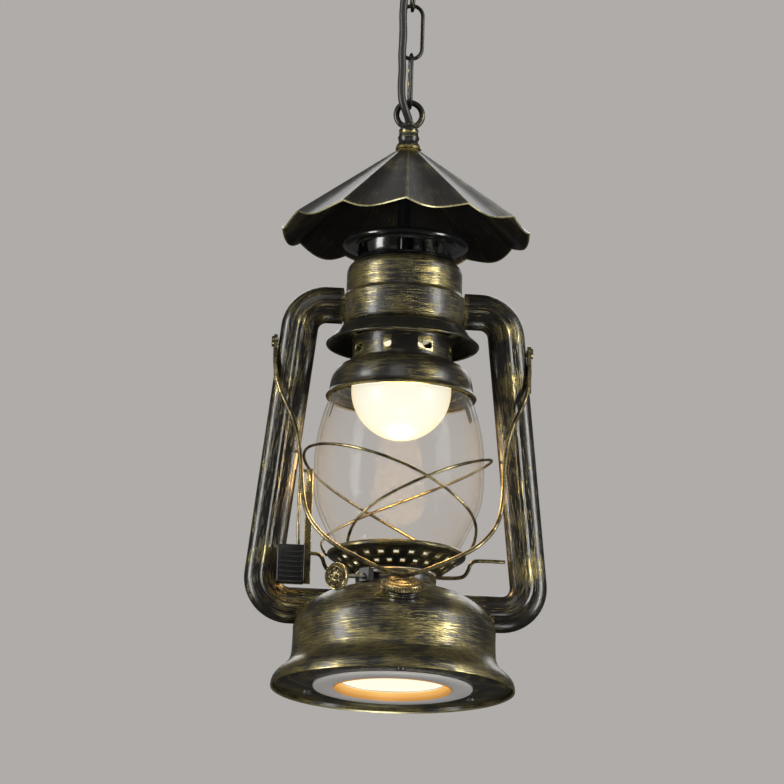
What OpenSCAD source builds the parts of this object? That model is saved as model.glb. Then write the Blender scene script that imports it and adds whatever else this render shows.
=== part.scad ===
// Hanging lantern: a fluted roof, a vented crown, an air chamber and a domed fount joined by two
// hollow side arms, with a clear globe between them. It hangs by a short chain from a ceiling rose,
// whose face against the ceiling is the origin. +Z is up, the arms lie along X, the front is -Y.

/* [Hanging height] */
// Height of the ceiling face above the foot of the lantern
drop = 575; // [573:1:640]
// Length of one chain link, outside
link_length = 42; // [38:0.5:42]
// Width of one chain link, outside
link_width = 18; // [16:0.5:20]
// Thickness of the chain wire
chain_wire = 2.8; // [2:0.1:3]
// Thickness of the supply cord
cord_width = 5.6; // [5:0.1:6]

/* [Fount] */
// Radius of the flared foot
foot_r = 85; // [82:0.5:90]
// Radius of the fount wall
fount_r = 70.5; // [69:0.5:72]
// Height of the fount's shoulder where it turns in
shoulder_z = 42; // [40:1:44]
// Height of the fount's top
fount_top = 70.5; // [69:0.5:72]
// Radius of the burner neck
neck_r = 28; // [27:0.5:29]

/* [Globe] */
// Largest radius of the glass
globe_r = 59.5; // [58:0.5:60]
// Thickness of the glass
glass_wall = 2.2; // [1.5:0.1:2.5]
// Radius of the bulb
bulb_r = 35; // [30:0.5:36]
// Height of the bulb's centre
bulb_z = 213.5; // [211:0.5:214]

/* [Side arms] */
// Width of an arm, in the plane of both arms
arm_w = 26; // [24:0.5:28]
// Thickness of an arm, front to back
arm_t = 16; // [14:0.5:18]
// Wall of an arm
arm_wall = 1.2; // [0.8:0.1:1.6]
// Radius of both bends, at the middle of the arm
bend_r = 19; // [17:0.5:21]
// Lean of the long leg, outwards as it goes down
leg_lean = 6.4; // [5:0.2:7]
// Height of the top stretch of the arm
arm_top = 273; // [271:0.5:275]
// Height of the bottom stretch of the arm
arm_foot = 57; // [55:0.5:59]

/* [Roof] */
// Radius of the roof's rim
roof_r = 87.5; // [84:0.5:92]
// Height of the roof's rim
roof_z = 325; // [324:0.5:328]
// Height of the roof's peak
peak_z = 394; // [392:0.5:396]
// Number of flutes in the roof
flutes = 12; // [8:1:16]
// Sag of each flute below its ridges, at the rim
flute_sag = 5.6; // [3:0.2:7]
// Turn of the first ridge from the front
roof_turn = -5; // [-15:1:15]

/* [Bail] */
// Height of the bail's pivots
pivot_z = 244.8; // [244:0.2:245.6]
// Length of the bail, from its pivots to its lowest point
bail_drop = 185.2; // [184.8:0.2:185.6]
// Thickness of the bail wire
bail_wire = 3; // [2.4:0.1:3.2]
// Lean of the hanging bail towards the front
bail_lean = 18.9; // [18.6:0.1:19.1]

/* [Hidden] */

$fn = 96;
sheet = 1.2;             // sheet metal of the tank parts
gap = 0.3;               // clearance between pieces that move past each other
black = "#1d1a17";
brass = "#8a6a3a";
steel = "#9a9a96";
white = "#f2efe6";

// Ceiling fitting, measured down from the ceiling face
rose_r = 50;
rose_h = 28;
bar_t = 2;
bar_half = 40;
screw_x = 35;            // the two fixing screws in the ceiling
rose_screw_x = 22;
cord_hole = [-14, -9];
hook_r = 8;
hook_wire = 4;
shank_r = 2.5;

// Chain, measured up from the lantern's foot
loop_r = 9.15;
loop_wire = 4.3;
loop_z = 414.5;
link_1_z = loop_z + loop_r - loop_wire / 2 - gap - chain_wire;
link_pitch = link_length - 2 * chain_wire - gap;
hook_z = link_1_z + 2 * link_pitch + link_length - chain_wire - gap - hook_wire / 2 + hook_r;

// Stretches of the side arms
leg_start = [53.8 + bend_r * cos(leg_lean), arm_top - bend_r + bend_r * sin(leg_lean)];
foot_centre_z = arm_foot + bend_r;
leg_end_z = foot_centre_z + bend_r * sin(leg_lean);
leg_run = (leg_start[1] - leg_end_z) / cos(leg_lean);
leg_end = leg_start + leg_run * [sin(leg_lean), -cos(leg_lean)];
foot_centre = leg_end - bend_r * [cos(leg_lean), sin(leg_lean)];
head_centre = [53.8, arm_top - bend_r];
arm_root = 42.9;         // where an arm meets the upper tank
seam_w = 3;
seam_h = 1;

// Bail, filler and wick control
pivot_x = 89.2;
cap_place = [0, -56.5, 51];
cap_lean = 28;
knob_turn = -42;
knob_lean = 10.5;        // the wick shaft slopes down towards its knob
knob_z = 75.5;
knob_reach = 38.6;       // from the burner neck to the knob

// The cord's route, from inside the stem up to the terminal block
cord_route = [
    [0, 0, 399], [0, 0, 405], [0, -0.3, 409], [-1.4, -2.8, 413], [-3.8, -6, 417.5],
    [-6, -7.4, 423.5], [-6.8, -7, 434], [-6.4, -6.2, 446], [-6.9, -5.9, 458], [-6.4, -6.1, 472],
    [-7, -5.9, 486], [-6.6, -6.1, 500], [-7.2, -6.5, 513], [-9, -7.2, 524], [-12.2, -8.4, 533],
    [-13.8, -8.95, 539], [-14, -9, 544], [-14, -9, 552], [-14, -9, 561]
];

function mix(a, b, t) = a + (b - a) * t;
function reversed(path) = [for (i = [len(path) - 1:-1:0]) path[i]];

// Points on a curve with two handles
function curve(a, b, c, d, n) = [
    for (i = [0:n]) let (t = i / n, s = 1 - t)
    s * s * s * a + 3 * s * s * t * b + 3 * s * t * t * c + t * t * t * d
];

// An outline moved to its left by a wall's thickness
function inside(path, wall) = [
    for (i = [0:len(path) - 1])
    let (
        a = path[max(i - 1, 0)],
        b = path[min(i + 1, len(path) - 1)],
        u = (b - a) / norm(b - a)
    )
    path[i] + wall * [-u[1], u[0]]
];

// Turned sheet metal: the outline runs upwards along the outer face
module turned(path, wall = sheet) {
    rotate_extrude() polygon(concat(path, reversed(inside(path, wall))));
}

module ring(inner, outer, z, height) {
    translate([0, 0, z])
        difference() {
            cylinder(r = outer, h = height);
            translate([0, 0, -1]) cylinder(r = inner, h = height + 2);
        }
}

// A round wire along a path, as rings square to it and two flat ends
module wire(path, width, sides = 8) {
    last = len(path) - 1;
    function along(i) = let (d = path[min(i + 1, last)] - path[max(i - 1, 0)]) d / norm(d);
    // A fixed direction that no stretch of the path runs along keeps the rings from twisting
    function ring_at(i, ref) =
        let (u = along(i), v = cross(u, ref) / norm(cross(u, ref)), w = cross(u, v))
        [for (k = [0:sides - 1])
            path[i] + width / 2 * (cos(360 * k / sides) * v + sin(360 * k / sides) * w)];
    ref = wire_side(path);
    points = [for (i = [0:last]) for (p = ring_at(i, ref)) p];
    walls = [
        for (i = [0:last - 1]) for (k = [0:sides - 1])
        let (a = i * sides + k, b = i * sides + (k + 1) % sides)
        [a, a + sides, b + sides, b]
    ];
    ends = [[for (k = [0:sides - 1]) k], [for (k = [sides - 1:-1:0]) last * sides + k]];
    polyhedron(points, concat(walls, ends));
}

// The axis that a path leans on least: Y for paths in the plane of the arms, else its own
function wire_side(path) = abs(path[0][1]) < 0.01 && abs(path[len(path) - 1][1]) < 0.01
    ? [0, 1, 0] : [0.31, 0.9, 0.3];

// A surface through rings of points that closes on itself both ways
module closed_grid(rings) {
    count = len(rings);
    n = len(rings[0]);
    faces = [
        for (i = [0:count - 1]) for (k = [0:n - 1])
        let (j = (i + 1) % count, m = (k + 1) % n)
        each [[i * n + k, i * n + m, j * n + m], [i * n + k, j * n + m, j * n + k]]
    ];
    polyhedron([for (ring = rings) each ring], faces);
}

module at_lantern() {
    translate([0, 0, -drop]) children();
}

module both_sides() {
    children();
    mirror([1, 0, 0]) children();
}

// ---- ceiling fitting ----

module mounting_bar() {
    color(steel)
        difference() {
            translate([-bar_half, -10, -bar_t]) cube([2 * bar_half, 20, bar_t]);
            for (x = [-screw_x, screw_x])
                translate([x, 0, -bar_t - 1]) cylinder(d = 4.5, h = bar_t + 2);
            for (x = [-rose_screw_x, rose_screw_x])
                translate([x, 0, -bar_t - 1]) cylinder(d = 3.2, h = bar_t + 2);
            translate([0, 0, -bar_t - 1]) cylinder(r = shank_r + 0.1, h = bar_t + 2);
        }
}

module ceiling_rose() {
    bowl = concat(
        [[shank_r + 0.3, -rose_h], [30, -rose_h]],
        curve([34, -rose_h], [44, -rose_h], [48, -16], [48.5, -6], 8),
        [[rose_r, -4], [rose_r, -0.1]]
    );
    color(black)
        difference() {
            turned(bowl, 1.5);
            for (x = [-rose_screw_x, rose_screw_x])
                translate([x, 0, -rose_h - 1]) cylinder(d = 3.4, h = 4);
            translate([cord_hole[0], cord_hole[1], -rose_h - 1]) cylinder(r = 5, h = 4);
        }
}

module rose_screws() {
    color(brass)
        for (x = [-rose_screw_x, rose_screw_x])
            translate([x, 0, 0])
                union() {
                    translate([0, 0, -rose_h - 2]) cylinder(r = 3.2, h = 1.9);
                    translate([0, 0, -rose_h - 1]) cylinder(d = 3, h = rose_h);
                }
}

module rose_hook() {
    color(brass)
        union() {
            translate([0, 0, hook_z - drop])
                rotate([90, 0, 0])
                    rotate_extrude() translate([hook_r, 0]) circle(d = hook_wire);
            translate([0, 0, hook_z - drop + hook_r])
                cylinder(r = shank_r, h = drop - hook_z - hook_r - 0.4);
        }
}

module hook_nut() {
    color(steel)
        difference() {
            translate([0, 0, -bar_t - 4.2]) cylinder(r = 5, h = 4, $fn = 6);
            translate([0, 0, -bar_t - 5]) cylinder(r = shank_r + 0.05, h = 6);
        }
}

module cord_grommet() {
    collar = [
        [cord_width / 2 + 0.1, -rose_h - 2], [6.6, -rose_h - 2], [6.6, -rose_h - 0.1],
        [4.9, -rose_h - 0.1], [4.9, -rose_h + 1.6], [6.4, -rose_h + 1.6],
        [6.4, -rose_h + 3], [cord_width / 2 + 0.1, -rose_h + 3]
    ];
    color("#111111")
        translate([cord_hole[0], cord_hole[1], 0]) rotate_extrude() polygon(collar);
}

module terminal_block() {
    color(white)
        difference() {
            translate([-24, -18, -14]) cube([20, 15, 11.9]);
            for (x = [-19, -9])
                translate([x, -10.5, -13.9 + 6]) cylinder(d = 3, h = 8);
        }
}

// ---- chain ----

// One link, a stadium of wire standing on its lowest point
module chain_link() {
    bow = link_width / 2 - chain_wire / 2;
    low = link_width / 2;
    high = link_length - link_width / 2;
    color(brass)
        union() {
            translate([0, 0, high])
                rotate([90, 0, 0])
                    rotate_extrude(angle = 180) translate([bow, 0]) circle(d = chain_wire, $fn = 32);
            translate([0, 0, low])
                rotate([90, 0, 0])
                    rotate_extrude(angle = 180, start = 180)
                        translate([bow, 0]) circle(d = chain_wire, $fn = 32);
            for (x = [-bow, bow])
                translate([x, 0, low]) cylinder(d = chain_wire, h = high - low, $fn = 32);
        }
}

module chain_link_1() {
    at_lantern() translate([0, 0, link_1_z]) rotate([0, 0, 90]) chain_link();
}

module chain_link_2() {
    at_lantern() translate([0, 0, link_1_z + link_pitch]) chain_link();
}

module chain_link_3() {
    at_lantern() translate([0, 0, link_1_z + 2 * link_pitch]) rotate([0, 0, 90]) chain_link();
}

module supply_cord() {
    color("#101010") at_lantern() wire(cord_route, cord_width);
}

// ---- head of the lantern ----

module hang_loop() {
    color(brass)
        at_lantern()
            difference() {
                union() {
                    translate([0, 0, loop_z])
                        rotate([90, 0, 0])
                            rotate_extrude() translate([loop_r, 0]) circle(d = loop_wire, $fn = 48);
                    translate([0, 0, 402.1]) cylinder(r1 = 6.7, r2 = 4.6, h = 4);
                }
                translate([0, 0, 400]) cylinder(r = 3.1, h = 10);
            }
}

module stem_tube() {
    color(black) at_lantern() ring(4, 6, 282.2, 119.8);
}

module roof_collar() {
    color(brass)
        at_lantern()
            rotate_extrude()
                polygon([[6.05, 389.4], [8.4, 389.4], [7, 394], [7, 402], [6.05, 402]]);
}

// Height of the roof at a radius and a turn: straight ridges with a sagging flute between them
function roof_height(r, turn) =
    let (step = 360 / flutes, u = (turn % step) / step)
    mix(peak_z, roof_z + flute_sag, r / roof_r) - flute_sag * (r / roof_r) * sin(180 * u);

module canopy_roof() {
    per_flute = 6;
    around = flutes * per_flute;
    reach = [6.4, 20, 36, 52, 68, 80, roof_r];
    section = concat([for (r = reach) [r, 0]], [for (r = reversed(reach)) [r, -sheet]]);
    rings = [
        for (i = [0:around - 1])
        let (turn = i * 360 / around, a = turn - 90 + roof_turn)
        [for (s = section) [s[0] * cos(a), s[0] * sin(a), roof_height(s[0], turn) + s[1]]]
    ];
    color(black) at_lantern() closed_grid(reversed(rings));
}

module crown_lip() {
    lip = [
        [6.1, 317.3], [36, 317.3], [43, 317.6], [44, 318.6], [44, 320.4], [43, 321.6],
        [38.5, 322], [36, 319.4], [6.1, 319.4]
    ];
    color(black) at_lantern() rotate_extrude() polygon(lip);
}

// A radial cut with round ends, wide across and tall
module slot(wide, tall, depth) {
    rotate([90, 0, 0])
        union() {
            for (x = [-1, 1])
                translate([x * (wide - tall) / 2, 0, 0]) cylinder(d = tall, h = depth, $fn = 32);
            translate([-(wide - tall) / 2, -tall / 2, 0]) cube([wide - tall, tall, depth]);
        }
}

module crown_vent() {
    color("#050505")
        at_lantern()
            difference() {
                ring(33.4, 35, 305.8, 11.4);
                for (i = [0:3])
                    rotate([0, 0, i * 90 + 11]) translate([0, -24, 311.4]) slot(40, 8, 14);
            }
}

module upper_tank() {
    drum = concat(
        [[37, 258.4], [40.2, 258.4], [41.8, 260.4], [42.6, 263.6], [42.7, 268], [42.7, 280],
            [41.4, 281], [40.6, 282.5]],
        curve([40.6, 297], [40.6, 302], [37, 305.5], [34, 305.5], 5),
        [[6.1, 305.5]]
    );
    color(black)
        at_lantern()
            difference() {
                turned(drum);
                for (a = [90, -90])
                    rotate([0, a, 0]) translate([a > 0 ? -arm_top : arm_top, 0, 30])
                        cylinder(r = 6, h = 20);
            }
}

module drip_skirt() {
    color(black)
        at_lantern()
            turned([[53.5, 245.7], [53.3, 247], [45, 255.6], [43.4, 257.2], [37.2, 257.2]], 1);
}

module lamp_holder() {
    color(white)
        at_lantern()
            difference() {
                union() {
                    translate([0, 0, 250]) cylinder(r = 19, h = 30);
                    translate([0, 0, 280]) cylinder(r = 11, h = 2);
                }
                translate([0, 0, 249]) cylinder(r = 14.2, h = 28);
                translate([0, 0, 276]) cylinder(r = 4, h = 8);
            }
}

module socket_contact() {
    color(brass)
        at_lantern()
            union() {
                translate([-7, -2.5, 276]) cube([14, 5, 0.8]);
                translate([0, 0, 275.2]) cylinder(r = 2, h = 1);
            }
}

// ---- side arms ----

// Cross-section of an arm: a flattened round with a seam bead on its front and back
function arm_section(grow) =
    let (
        half_w = arm_w / 2 + grow,
        half_t = arm_t / 2 + grow,
        bead = grow < 0 ? 0 : seam_h,
        outer_side = [
            for (a = [-75:18.75:75])
            [half_w * pow(cos(a), 0.75), half_t * sin(a)]
        ],
        seam = [[seam_w / 2, half_t + bead], [-seam_w / 2, half_t + bead]]
    )
    concat(outer_side, seam, -outer_side, -seam);

// Turns of the rings round both bends; the long leg is the stretch between them
head_turns = [for (i = [0:8]) mix(90, leg_lean, i / 8)];
foot_turns = [for (i = [0:9]) mix(leg_lean, -90, i / 9)];

// Radius of the fount's shoulder at a height
function shoulder_radius(z) = lookup(z, [for (p = fount_outline(0.2)) [p[1], p[0]]]);

function arm_ring(centre, turn, section) = [
    for (s = section)
    [centre[0] + cos(turn) * (bend_r + s[0]), s[1], centre[1] + sin(turn) * (bend_r + s[0])]
];

// One wall of an arm, as rings from the tank to the shoulder, whose ends follow both
function arm_rings(grow) =
    let (section = arm_section(grow))
    concat(
        [[for (s = section) [sqrt(arm_root * arm_root - s[1] * s[1]), s[1], arm_top + s[0]]]],
        [for (a = head_turns) arm_ring(head_centre, a, section)],
        [for (a = foot_turns) arm_ring(foot_centre, a, section)],
        [[
            for (s = section)
            let (z = arm_foot - s[0], r = shoulder_radius(z))
            [sqrt(r * r - s[1] * s[1]), s[1], z]
        ]]
    );

module side_arm() {
    color(black) closed_grid(concat(arm_rings(0), reversed(arm_rings(-arm_wall))));
}

module right_arm() {
    at_lantern() side_arm();
}

module left_arm() {
    at_lantern() mirror([1, 0, 0]) side_arm();
}

// A pin on each arm's outer edge, with a washer that keeps the bail on it
module bail_lugs() {
    pin = 2.4;
    edge = leg_start[0] + (leg_start[1] - pivot_z + pin) * tan(leg_lean)
        + arm_w / 2 / cos(leg_lean);
    color(brass)
        at_lantern()
            for (side = [-1, 1])
                translate([side * (edge + 0.02), 0, pivot_z])
                    rotate([0, side * 90, 0])
                        union() {
                            cylinder(r = pin, h = pivot_x + 2.6 - edge);
                            translate([0, 0, pivot_x + 1.4 - edge]) cylinder(r = 3.8, h = 1.2);
                        }
}

// Outline of half of the bail, in its own plane, from the pivot to the lowest point
bail_half = [
    [pivot_x + 0.1, -5], [pivot_x + 0.1, -18], [88, -30], [85.2, -41], [81, -51.5],
    [76.8, -62.5], [73.6, -75], [71.8, -88], [70.8, -100], [70.2, -112], [69.2, -125],
    [66.6, -138], [60.6, -150], [50.5, -161], [37.8, -169.5], [22, -178], [8.5, -183.8],
    [0, -bail_drop]
];

module bail_handle() {
    half = [for (p = bail_half) [p[0], 0, p[1]]];
    path = concat(half, [for (i = [len(half) - 2:-1:0]) [-half[i][0], 0, half[i][2]]]);
    color(brass)
        at_lantern()
            translate([0, 0, pivot_z])
                rotate([-bail_lean, 0, 0])
                    union() {
                        wire(path, bail_wire);
                        for (side = [-1, 1])
                            translate([side * (pivot_x - 1.2), 0, 0])
                                rotate([0, side * 90, 0])
                                    difference() {
                                        cylinder(r = 5.5, h = 2.2, $fn = 48);
                                        translate([0, 0, -1]) cylinder(r = 2.7, h = 5);
                                    }
                    }
}

// ---- globe and its carriage ----

module globe_bell() {
    bell = concat(
        [[52, 207.6], [52.4, 209.4]],
        curve([50.8, 212], [49, 224], [46, 229], [38, 231.5], 8),
        [[35.4, 232.4], [35, 234], [35, 250]]
    );
    color(black)
        at_lantern()
            difference() {
                turned(bell, 1);
                for (i = [0:7])
                    rotate([0, 0, i * 45 + 22.5])
                        translate([0, -30, 240]) slot(i % 2 == 0 ? 12 : 6.01, 6, 8);
            }
}

// A ring inside the bell with a leaf spring at each side, inside the glass
module spring_fingers() {
    strip = [[50, 193.5], [46.6, 206], [46.2, 214], [47, 222]];
    color(brass)
        at_lantern()
            difference() {
                turned(strip, 0.5);
                for (side = [-1, 1])
                    translate([-60, side > 0 ? 9 : -69, 190]) cube([120, 60, 27]);
            }
}

module glass_globe() {
    barrel = concat(
        [[42.5, 95.2]],
        curve([44, 101], [51, 118], [59.5, 126], [globe_r, 147], 10),
        curve([globe_r, 158], [59.5, 178], [55, 194], [50, 207], 9)
    );
    color("#dfe6e2", 0.35) at_lantern() turned(barrel, glass_wall);
}

module gallery_dish() {
    dish = [[neck_r, 82.4], [neck_r + 3, 83.2], [45.5, 94.2], [47.4, 94.6], [47.8, 96.4]];
    color(brass)
        at_lantern()
            difference() {
                turned(dish, 0.9);
                for (i = [0:11])
                    rotate([0, 0, i * 30]) translate([-4, -39.5, 82]) cube([8, 2.4, 12]);
            }
}

// Height of a guard wire above the foot at a turn from its highest point
function guard_height(turn) = 97 + 69.5 * (1 - pow(abs(turn) / 150, 1.8));
function guard_radius(z) = 50 + 14.5 * sin(90 * min(1, (z - 97) / 26));

module guard_wires() {
    wire_w = 2;
    // The second wire passes outside the first where they cross
    color(brass)
        at_lantern()
            for (side = [-1, 1])
                wire([
                    for (i = [-20:20])
                    let (
                        turn = i * 7.5,
                        z = guard_height(turn),
                        r = guard_radius(z) + (side > 0 ? 0 : wire_w + 0.1),
                        a = 12.5 + side * 90 - 90 + turn
                    )
                    [r * cos(a), r * sin(a), z]
                ], wire_w);
}

module lift_wire() {
    path = [
        [28.6, 0, 81], [36, 0, 81.2], [45, 0, 82.4], [50, 0, 86], [52.5, 0, 91], [56, 0, 94],
        [62, 0, 94.5], [76, 0, 94.5]
    ];
    color(brass) at_lantern() both_sides() wire(path, 2.7);
}

module lift_lever() {
    color(brass)
        at_lantern()
            union() {
                difference() {
                    translate([-65, -3.5, 72]) cube([5, 1.5, 82]);
                    translate([-62.5, 0, 94.5]) rotate([90, 0, 0]) cylinder(d = 2, h = 5);
                }
                translate([-70.2, -3.8, 96]) cube([2, 2, 56]);
                translate([-70.2, -3.8, 151.9]) cube([7.7, 1.8, 2]);
            }
}

module thumb_pad() {
    color("#0c0c0c")
        at_lantern()
            difference() {
                translate([-84.5, -19, 69.5]) cube([19.5, 9, 27]);
                for (z = [74:4:92])
                    translate([-85, -20, z]) cube([21, 1.8, 1.6]);
            }
}

module led_bulb() {
    ball = concat(
        [for (i = [-18:10]) let (a = i * 5) bulb_r * [cos(a), sin(a)] + [0, bulb_z]],
        [[14.5, bulb_z + 31], [13.4, bulb_z + 34]]
    );
    color("#fff3d0")
        at_lantern() rotate_extrude() polygon(concat(ball, [[0, bulb_z + 34]]));
}

module bulb_cap() {
    color(steel)
        at_lantern()
            union() {
                translate([0, 0, bulb_z + 34.05]) cylinder(r = 13.2, h = 24);
                translate([0, 0, bulb_z + 58]) cylinder(r = 4.5, h = 3);
            }
}

// ---- fount and burner ----

// Outer face of the fount, from the foot's rim to the burner neck
function fount_outline(grow) = concat(
    curve([foot_r + grow, 0], [foot_r - 1 + grow, 14], [fount_r + 0.5 + grow, 12],
        [fount_r + 0.5 + grow, 26], 10),
    curve([fount_r + grow, shoulder_z], [68 + grow, 54 + grow], [52, 69 + grow],
        [neck_r + 0.5, fount_top + grow], 10)
);

module base_tank() {
    color(black)
        at_lantern()
            difference() {
                turned(fount_outline(0));
                place_filler() translate([0, 0, -12]) cylinder(r = 13.6, h = 30);
                for (side = [-1, 1])
                    translate([side * 62, 0, arm_foot]) rotate([0, side * 90, 0])
                        cylinder(r = 6, h = 20, center = true);
            }
}

module burner_neck() {
    color(brass)
        at_lantern()
            difference() {
                turned([[neck_r - 3, 70.9], [neck_r + 1.5, 70.9], [neck_r + 1.5, 73],
                    [neck_r, 74], [neck_r, 80.8], [neck_r - 4, 82]]);
                place_knob() translate([0, 0, -8]) cylinder(r = 2.2, h = 16);
            }
}

module burner_cone() {
    cone = concat([[25, 82.8], [23.6, 86]],
        curve([23.4, 90], [22, 99], [15, 104], [7, 106], 6));
    color(brass) at_lantern() turned(cone, 0.8);
}

module base_plate() {
    color(black)
        at_lantern()
            difference() {
                ring(41.6, 82.2, 2.8, 1.2);
                for (i = [0:2])
                    rotate([0, 0, i * 120]) translate([0, -66, 0]) cylinder(d = 3.4, h = 6);
            }
}

module base_screws() {
    color(steel)
        at_lantern()
            for (i = [0:2])
                rotate([0, 0, i * 120])
                    translate([0, -66, 0])
                        union() {
                            translate([0, 0, 1.2]) cylinder(r = 3, h = 1.5);
                            translate([0, 0, 2]) cylinder(d = 3, h = 10);
                        }
}

module trim_ring() {
    color(white)
        at_lantern()
            rotate_extrude()
                polygon([[41.3, 0.6], [54, 0.6], [55.5, 1.4], [55.5, 2.7], [41.3, 2.7]]);
}

module reflector_ring() {
    color("#d98a2b") at_lantern() turned([[36.4, 5.6], [41, 0.8]], -0.8);
}

module diffuser() {
    color("#fffdf5") at_lantern() translate([0, 0, 6.6]) cylinder(r = 37, h = 2);
}

module light_can() {
    color(steel)
        at_lantern()
            difference() {
                translate([0, 0, 4.1]) cylinder(r = 41.4, h = 20);
                translate([0, 0, 3]) cylinder(r = 39.6, h = 19.6);
                translate([20, 0, 0]) cylinder(r = 3, h = 30);
            }
}

module led_board() {
    color(white)
        at_lantern()
            union() {
                translate([0, 0, 12]) cylinder(r = 36, h = 1.6);
                for (i = [0:5])
                    rotate([0, 0, i * 60]) translate([18, -2.5, 11]) cube([5, 5, 1.1]);
            }
}

module led_driver() {
    color("#e6e6e2") at_lantern() translate([-24, -14, 24.3]) cube([36, 28, 15]);
}

// Middle line of the left arm, which the lead to the base light follows
module arm_lead() {
    line = concat(
        [[-24, 0, arm_top], [-40, 0, arm_top], [-head_centre[0], 0, arm_top]],
        [for (a = [70:-20:10]) [-head_centre[0] - bend_r * cos(a), 0,
            head_centre[1] + bend_r * sin(a)]],
        [for (t = [0.1, 0.5, 0.9]) let (p = mix(leg_start, leg_end, t)) [-p[0], 0, p[1]]],
        [for (a = [-10:-20:-70]) [-foot_centre[0] - bend_r * cos(a), 0,
            foot_centre[1] + bend_r * sin(a)]],
        [[-foot_centre[0], 0, arm_foot], [-60, 0, arm_foot], [-50, 0, arm_foot - 5],
            [-40, 0, 46], [-24, 0, 41.6]]
    );
    color("#b03020") at_lantern() wire(line, 3.4);
}

module place_filler() {
    translate(cap_place) rotate([cap_lean, 0, 0]) children();
}

module filler_neck() {
    color(brass)
        at_lantern()
            place_filler()
                difference() {
                    union() {
                        translate([0, 0, -4]) cylinder(r = 13.5, h = 13);
                        cylinder(r = 11.2, h = 13.2);
                    }
                    translate([0, 0, -6]) cylinder(r = 9.4, h = 20);
                }
}

// A round with a pointed rib for each tooth
module knurled_round(r, depth, teeth) {
    polygon([
        for (i = [0:2 * teeth - 1])
        let (a = i * 180 / teeth, reach = i % 2 == 0 ? r : r - depth)
        [reach * cos(a), reach * sin(a)]
    ]);
}

module filler_cap() {
    color(brass)
        at_lantern()
            place_filler()
                difference() {
                    union() {
                        translate([0, 0, 10.4]) linear_extrude(4) knurled_round(15.2, 0.8, 28);
                        translate([0, 0, 14.4]) cylinder(r1 = 13.4, r2 = 9, h = 1.5);
                    }
                    translate([0, 0, 9]) cylinder(r = 11.8, h = 4.4);
                }
}

// From the wick shaft's own axis, pointing out, to its place in the burner neck
module place_knob() {
    rotate([0, 0, knob_turn])
        translate([0, -neck_r, knob_z]) rotate([90 + knob_lean, 0, 0]) children();
}

module knob_bracket() {
    color("#0c0c0c")
        at_lantern()
            difference() {
                rotate([0, 0, knob_turn]) translate([-4, -36.4, 70.6]) cube([8, 5.6, 9.4]);
                place_knob() cylinder(r = 2.2, h = 16);
            }
}

module wick_knob() {
    color(brass)
        at_lantern()
            place_knob()
                translate([0, 0, knob_reach])
                    difference() {
                        union() {
                            cylinder(r = 9.4, h = 2.2);
                            cylinder(r = 3.4, h = 4.6);
                            ring(6.8, 8, 2.1, 1);
                        }
                        translate([0, 0, -1]) cylinder(r = 1.55, h = 4);
                    }
}

module wick_shaft() {
    color(steel)
        at_lantern()
            place_knob()
                translate([0, 0, -16])
                    union() {
                        cylinder(r = 1.5, h = knob_reach + 18.5);
                        cylinder(r = 5, h = 2);
                    }
}

mounting_bar();
ceiling_rose();
rose_screws();
rose_hook();
hook_nut();
cord_grommet();
terminal_block();
chain_link_3();
chain_link_2();
chain_link_1();
supply_cord();
hang_loop();
stem_tube();
roof_collar();
canopy_roof();
crown_lip();
crown_vent();
upper_tank();
drip_skirt();
lamp_holder();
socket_contact();
left_arm();
right_arm();
bail_lugs();
bail_handle();
globe_bell();
spring_fingers();
glass_globe();
gallery_dish();
guard_wires();
lift_wire();
lift_lever();
thumb_pad();
led_bulb();
bulb_cap();
burner_neck();
burner_cone();
base_tank();
base_plate();
base_screws();
trim_ring();
reflector_ring();
diffuser();
light_can();
led_board();
led_driver();
arm_lead();
filler_neck();
filler_cap();
knob_bracket();
wick_knob();
wick_shaft();
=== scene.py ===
"""Hanging storm lantern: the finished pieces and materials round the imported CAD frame."""

import math

import bmesh
import bpy
import numpy as np
from mathutils import Matrix, Vector


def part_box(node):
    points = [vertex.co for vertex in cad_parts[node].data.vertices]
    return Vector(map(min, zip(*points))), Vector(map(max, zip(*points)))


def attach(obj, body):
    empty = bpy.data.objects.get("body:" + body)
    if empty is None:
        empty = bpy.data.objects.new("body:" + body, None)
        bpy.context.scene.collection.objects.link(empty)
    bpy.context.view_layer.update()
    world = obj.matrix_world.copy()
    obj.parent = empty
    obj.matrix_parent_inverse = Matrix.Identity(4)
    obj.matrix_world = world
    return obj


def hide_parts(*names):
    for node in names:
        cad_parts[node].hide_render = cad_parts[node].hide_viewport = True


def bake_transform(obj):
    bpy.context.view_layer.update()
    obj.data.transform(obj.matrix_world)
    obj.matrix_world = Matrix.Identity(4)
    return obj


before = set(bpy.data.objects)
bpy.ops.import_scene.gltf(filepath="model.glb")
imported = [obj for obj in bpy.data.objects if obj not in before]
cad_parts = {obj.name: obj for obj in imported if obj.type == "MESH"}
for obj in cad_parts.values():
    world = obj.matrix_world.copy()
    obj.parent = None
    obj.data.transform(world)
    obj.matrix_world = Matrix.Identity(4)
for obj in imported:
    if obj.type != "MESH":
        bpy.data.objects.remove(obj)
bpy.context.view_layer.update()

bl_info = {
    "name": "Hanging Lantern",
    "version": (1, 0, 0),
    "blender": (4, 5, 0),
    "location": "3D View > Sidebar > Lantern",
    "description": "Builds the visible pieces and finishes of a hanging storm lantern",
    "category": "Add Mesh",
}

MM = 0.001
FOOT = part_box("base_tank")[0][2]  # height of the lantern's foot in the frame
SHARP = math.radians(38)          # edges bent more than this stay crisp
WEAR_GAIN, WEAR_FLOOR = 2.2, 0.12  # how fast wear grows on an edge, and where it starts


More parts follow.
